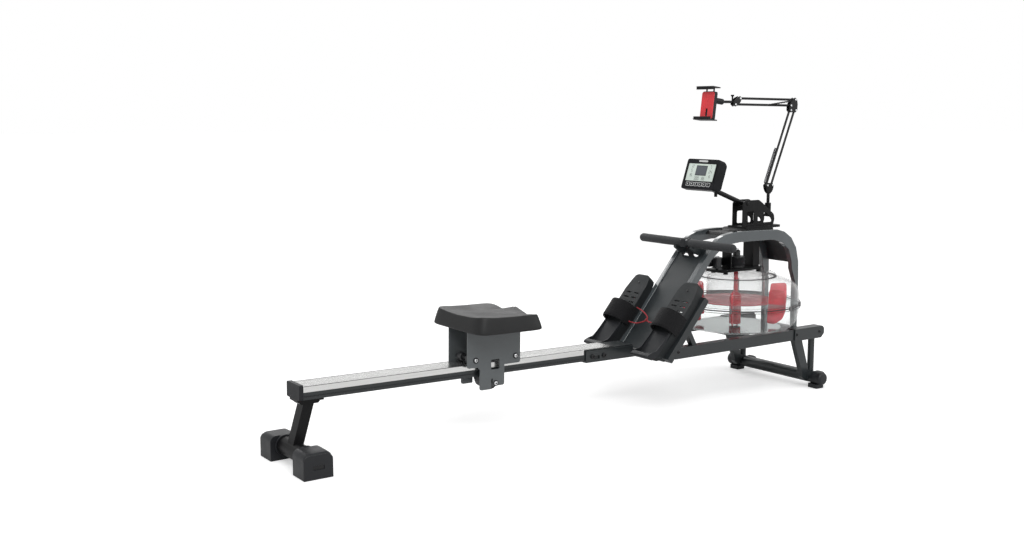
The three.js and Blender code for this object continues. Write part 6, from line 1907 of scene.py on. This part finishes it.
@dataclass
class PullHandle:
    """The bar that is pulled, with its foam grips."""

    centre: Spot = (0.51255, 0.0, 0.563)
    half: float = 0.242
    grip_start: float = 0.0212
    bar: float = 0.0118
    grip: float = 0.0155

    def build(self) -> None:
        """Builds the pieces."""
        x, _, z = self.centre
        block = Shape().box((x - 0.0175, -0.0140, z - 0.0165), (x + 0.0200, 0.0140, z + 0.0170), 0.0060, 4)
        block.piece("handle_block", Looks.PLASTIC, "handle", ["pull_handle"])
        rod = Shape().rod((x, -self.half + 0.004, z), (x, self.half - 0.004, z), self.bar, 48)
        rod.piece("handle_bar", Looks.PAINT, "handle", sharp=30.0)
        for side, sign in (("left", 1.0), ("right", -1.0)):
            self.foam(side, sign)
            self.collar(side, sign)
            for index, (dx, dz) in enumerate(((-0.011, 0.0), (0.013, 0.0)), 1):
                screw(
                    f"handle_screw_{side}_{index}", Looks.SCREW, "handle", (x + dx, sign * 0.0134, z + dz + 0.011),
                    (0.0, sign, 0.0), 0.0034, 0.0018,
                )

    def foam(self, side: str, sign: float) -> None:
        """A foam grip with turned-in ends and a plastic cap.

        Args:
            side: the name of its side.
            sign: +1 on the left, -1 on the right.
        """
        start, end, r = self.grip_start, self.half - 0.0055, self.grip
        profile = [
            (self.bar, start), (r - 0.0022, start + 0.0002), (r - 0.0006, start + 0.0014), (r, start + 0.0036),
            (r - 0.0003, start + 0.045), (r + 0.0001, start + 0.09), (r - 0.0002, start + 0.13), (r, end - 0.0034),
            (r - 0.0006, end - 0.0013), (r - 0.0022, end), (self.bar, end),
        ]
        centre = (self.centre[0], 0.0, self.centre[2])
        grip = Shape().turn(profile, centre, (0.0, sign, 0.0), 64, closed=True)
        grip.piece(f"handle_grip_{side}", Looks.GRIP, "handle", sharp=50.0, weighted=False)
        plug = [
            (0.0, end - 0.001), (self.bar + 0.0018, end - 0.001), (self.bar + 0.0018, end + 0.0018),
            (self.bar + 0.0006, end + 0.0042), (self.bar - 0.0016, end + 0.0054), (0.0, end + 0.0054),
        ]
        cap = Shape().turn(plug, centre, (0.0, sign, 0.0), 48)
        cap.piece(f"handle_cap_{side}", Looks.CAP, "handle", sharp=40.0)

    def collar(self, side: str, sign: float) -> None:
        """The stepped collar between the clamp block and the grip."""
        ring = [
            (0.0110, 0.0136), (0.0158, 0.0136), (0.0164, 0.0144), (0.0164, 0.0196), (0.0154, 0.0208), (0.0110, 0.0209),
        ]
        made = Shape().turn(ring, (self.centre[0], 0.0, self.centre[2]), (0.0, sign, 0.0), 48, closed=True)
        made.piece(f"handle_collar_{side}", Looks.CAP, "handle", sharp=30.0)


def main() -> None:
    """Builds the scene in order."""
    logging.basicConfig(level=logging.INFO, format="%(message)s")
    Studio().build()
    Cords().build()
    for group in (
        RailSide(), Seat(), FrontFrame(), Arches(), Feet(), Tank(), Drive(), Console(), DeviceArm(), PullHandle(),
    ):
        group.build()
        LOG.info("built %s", type(group).__name__)


if __name__ == "__main__":
    main()
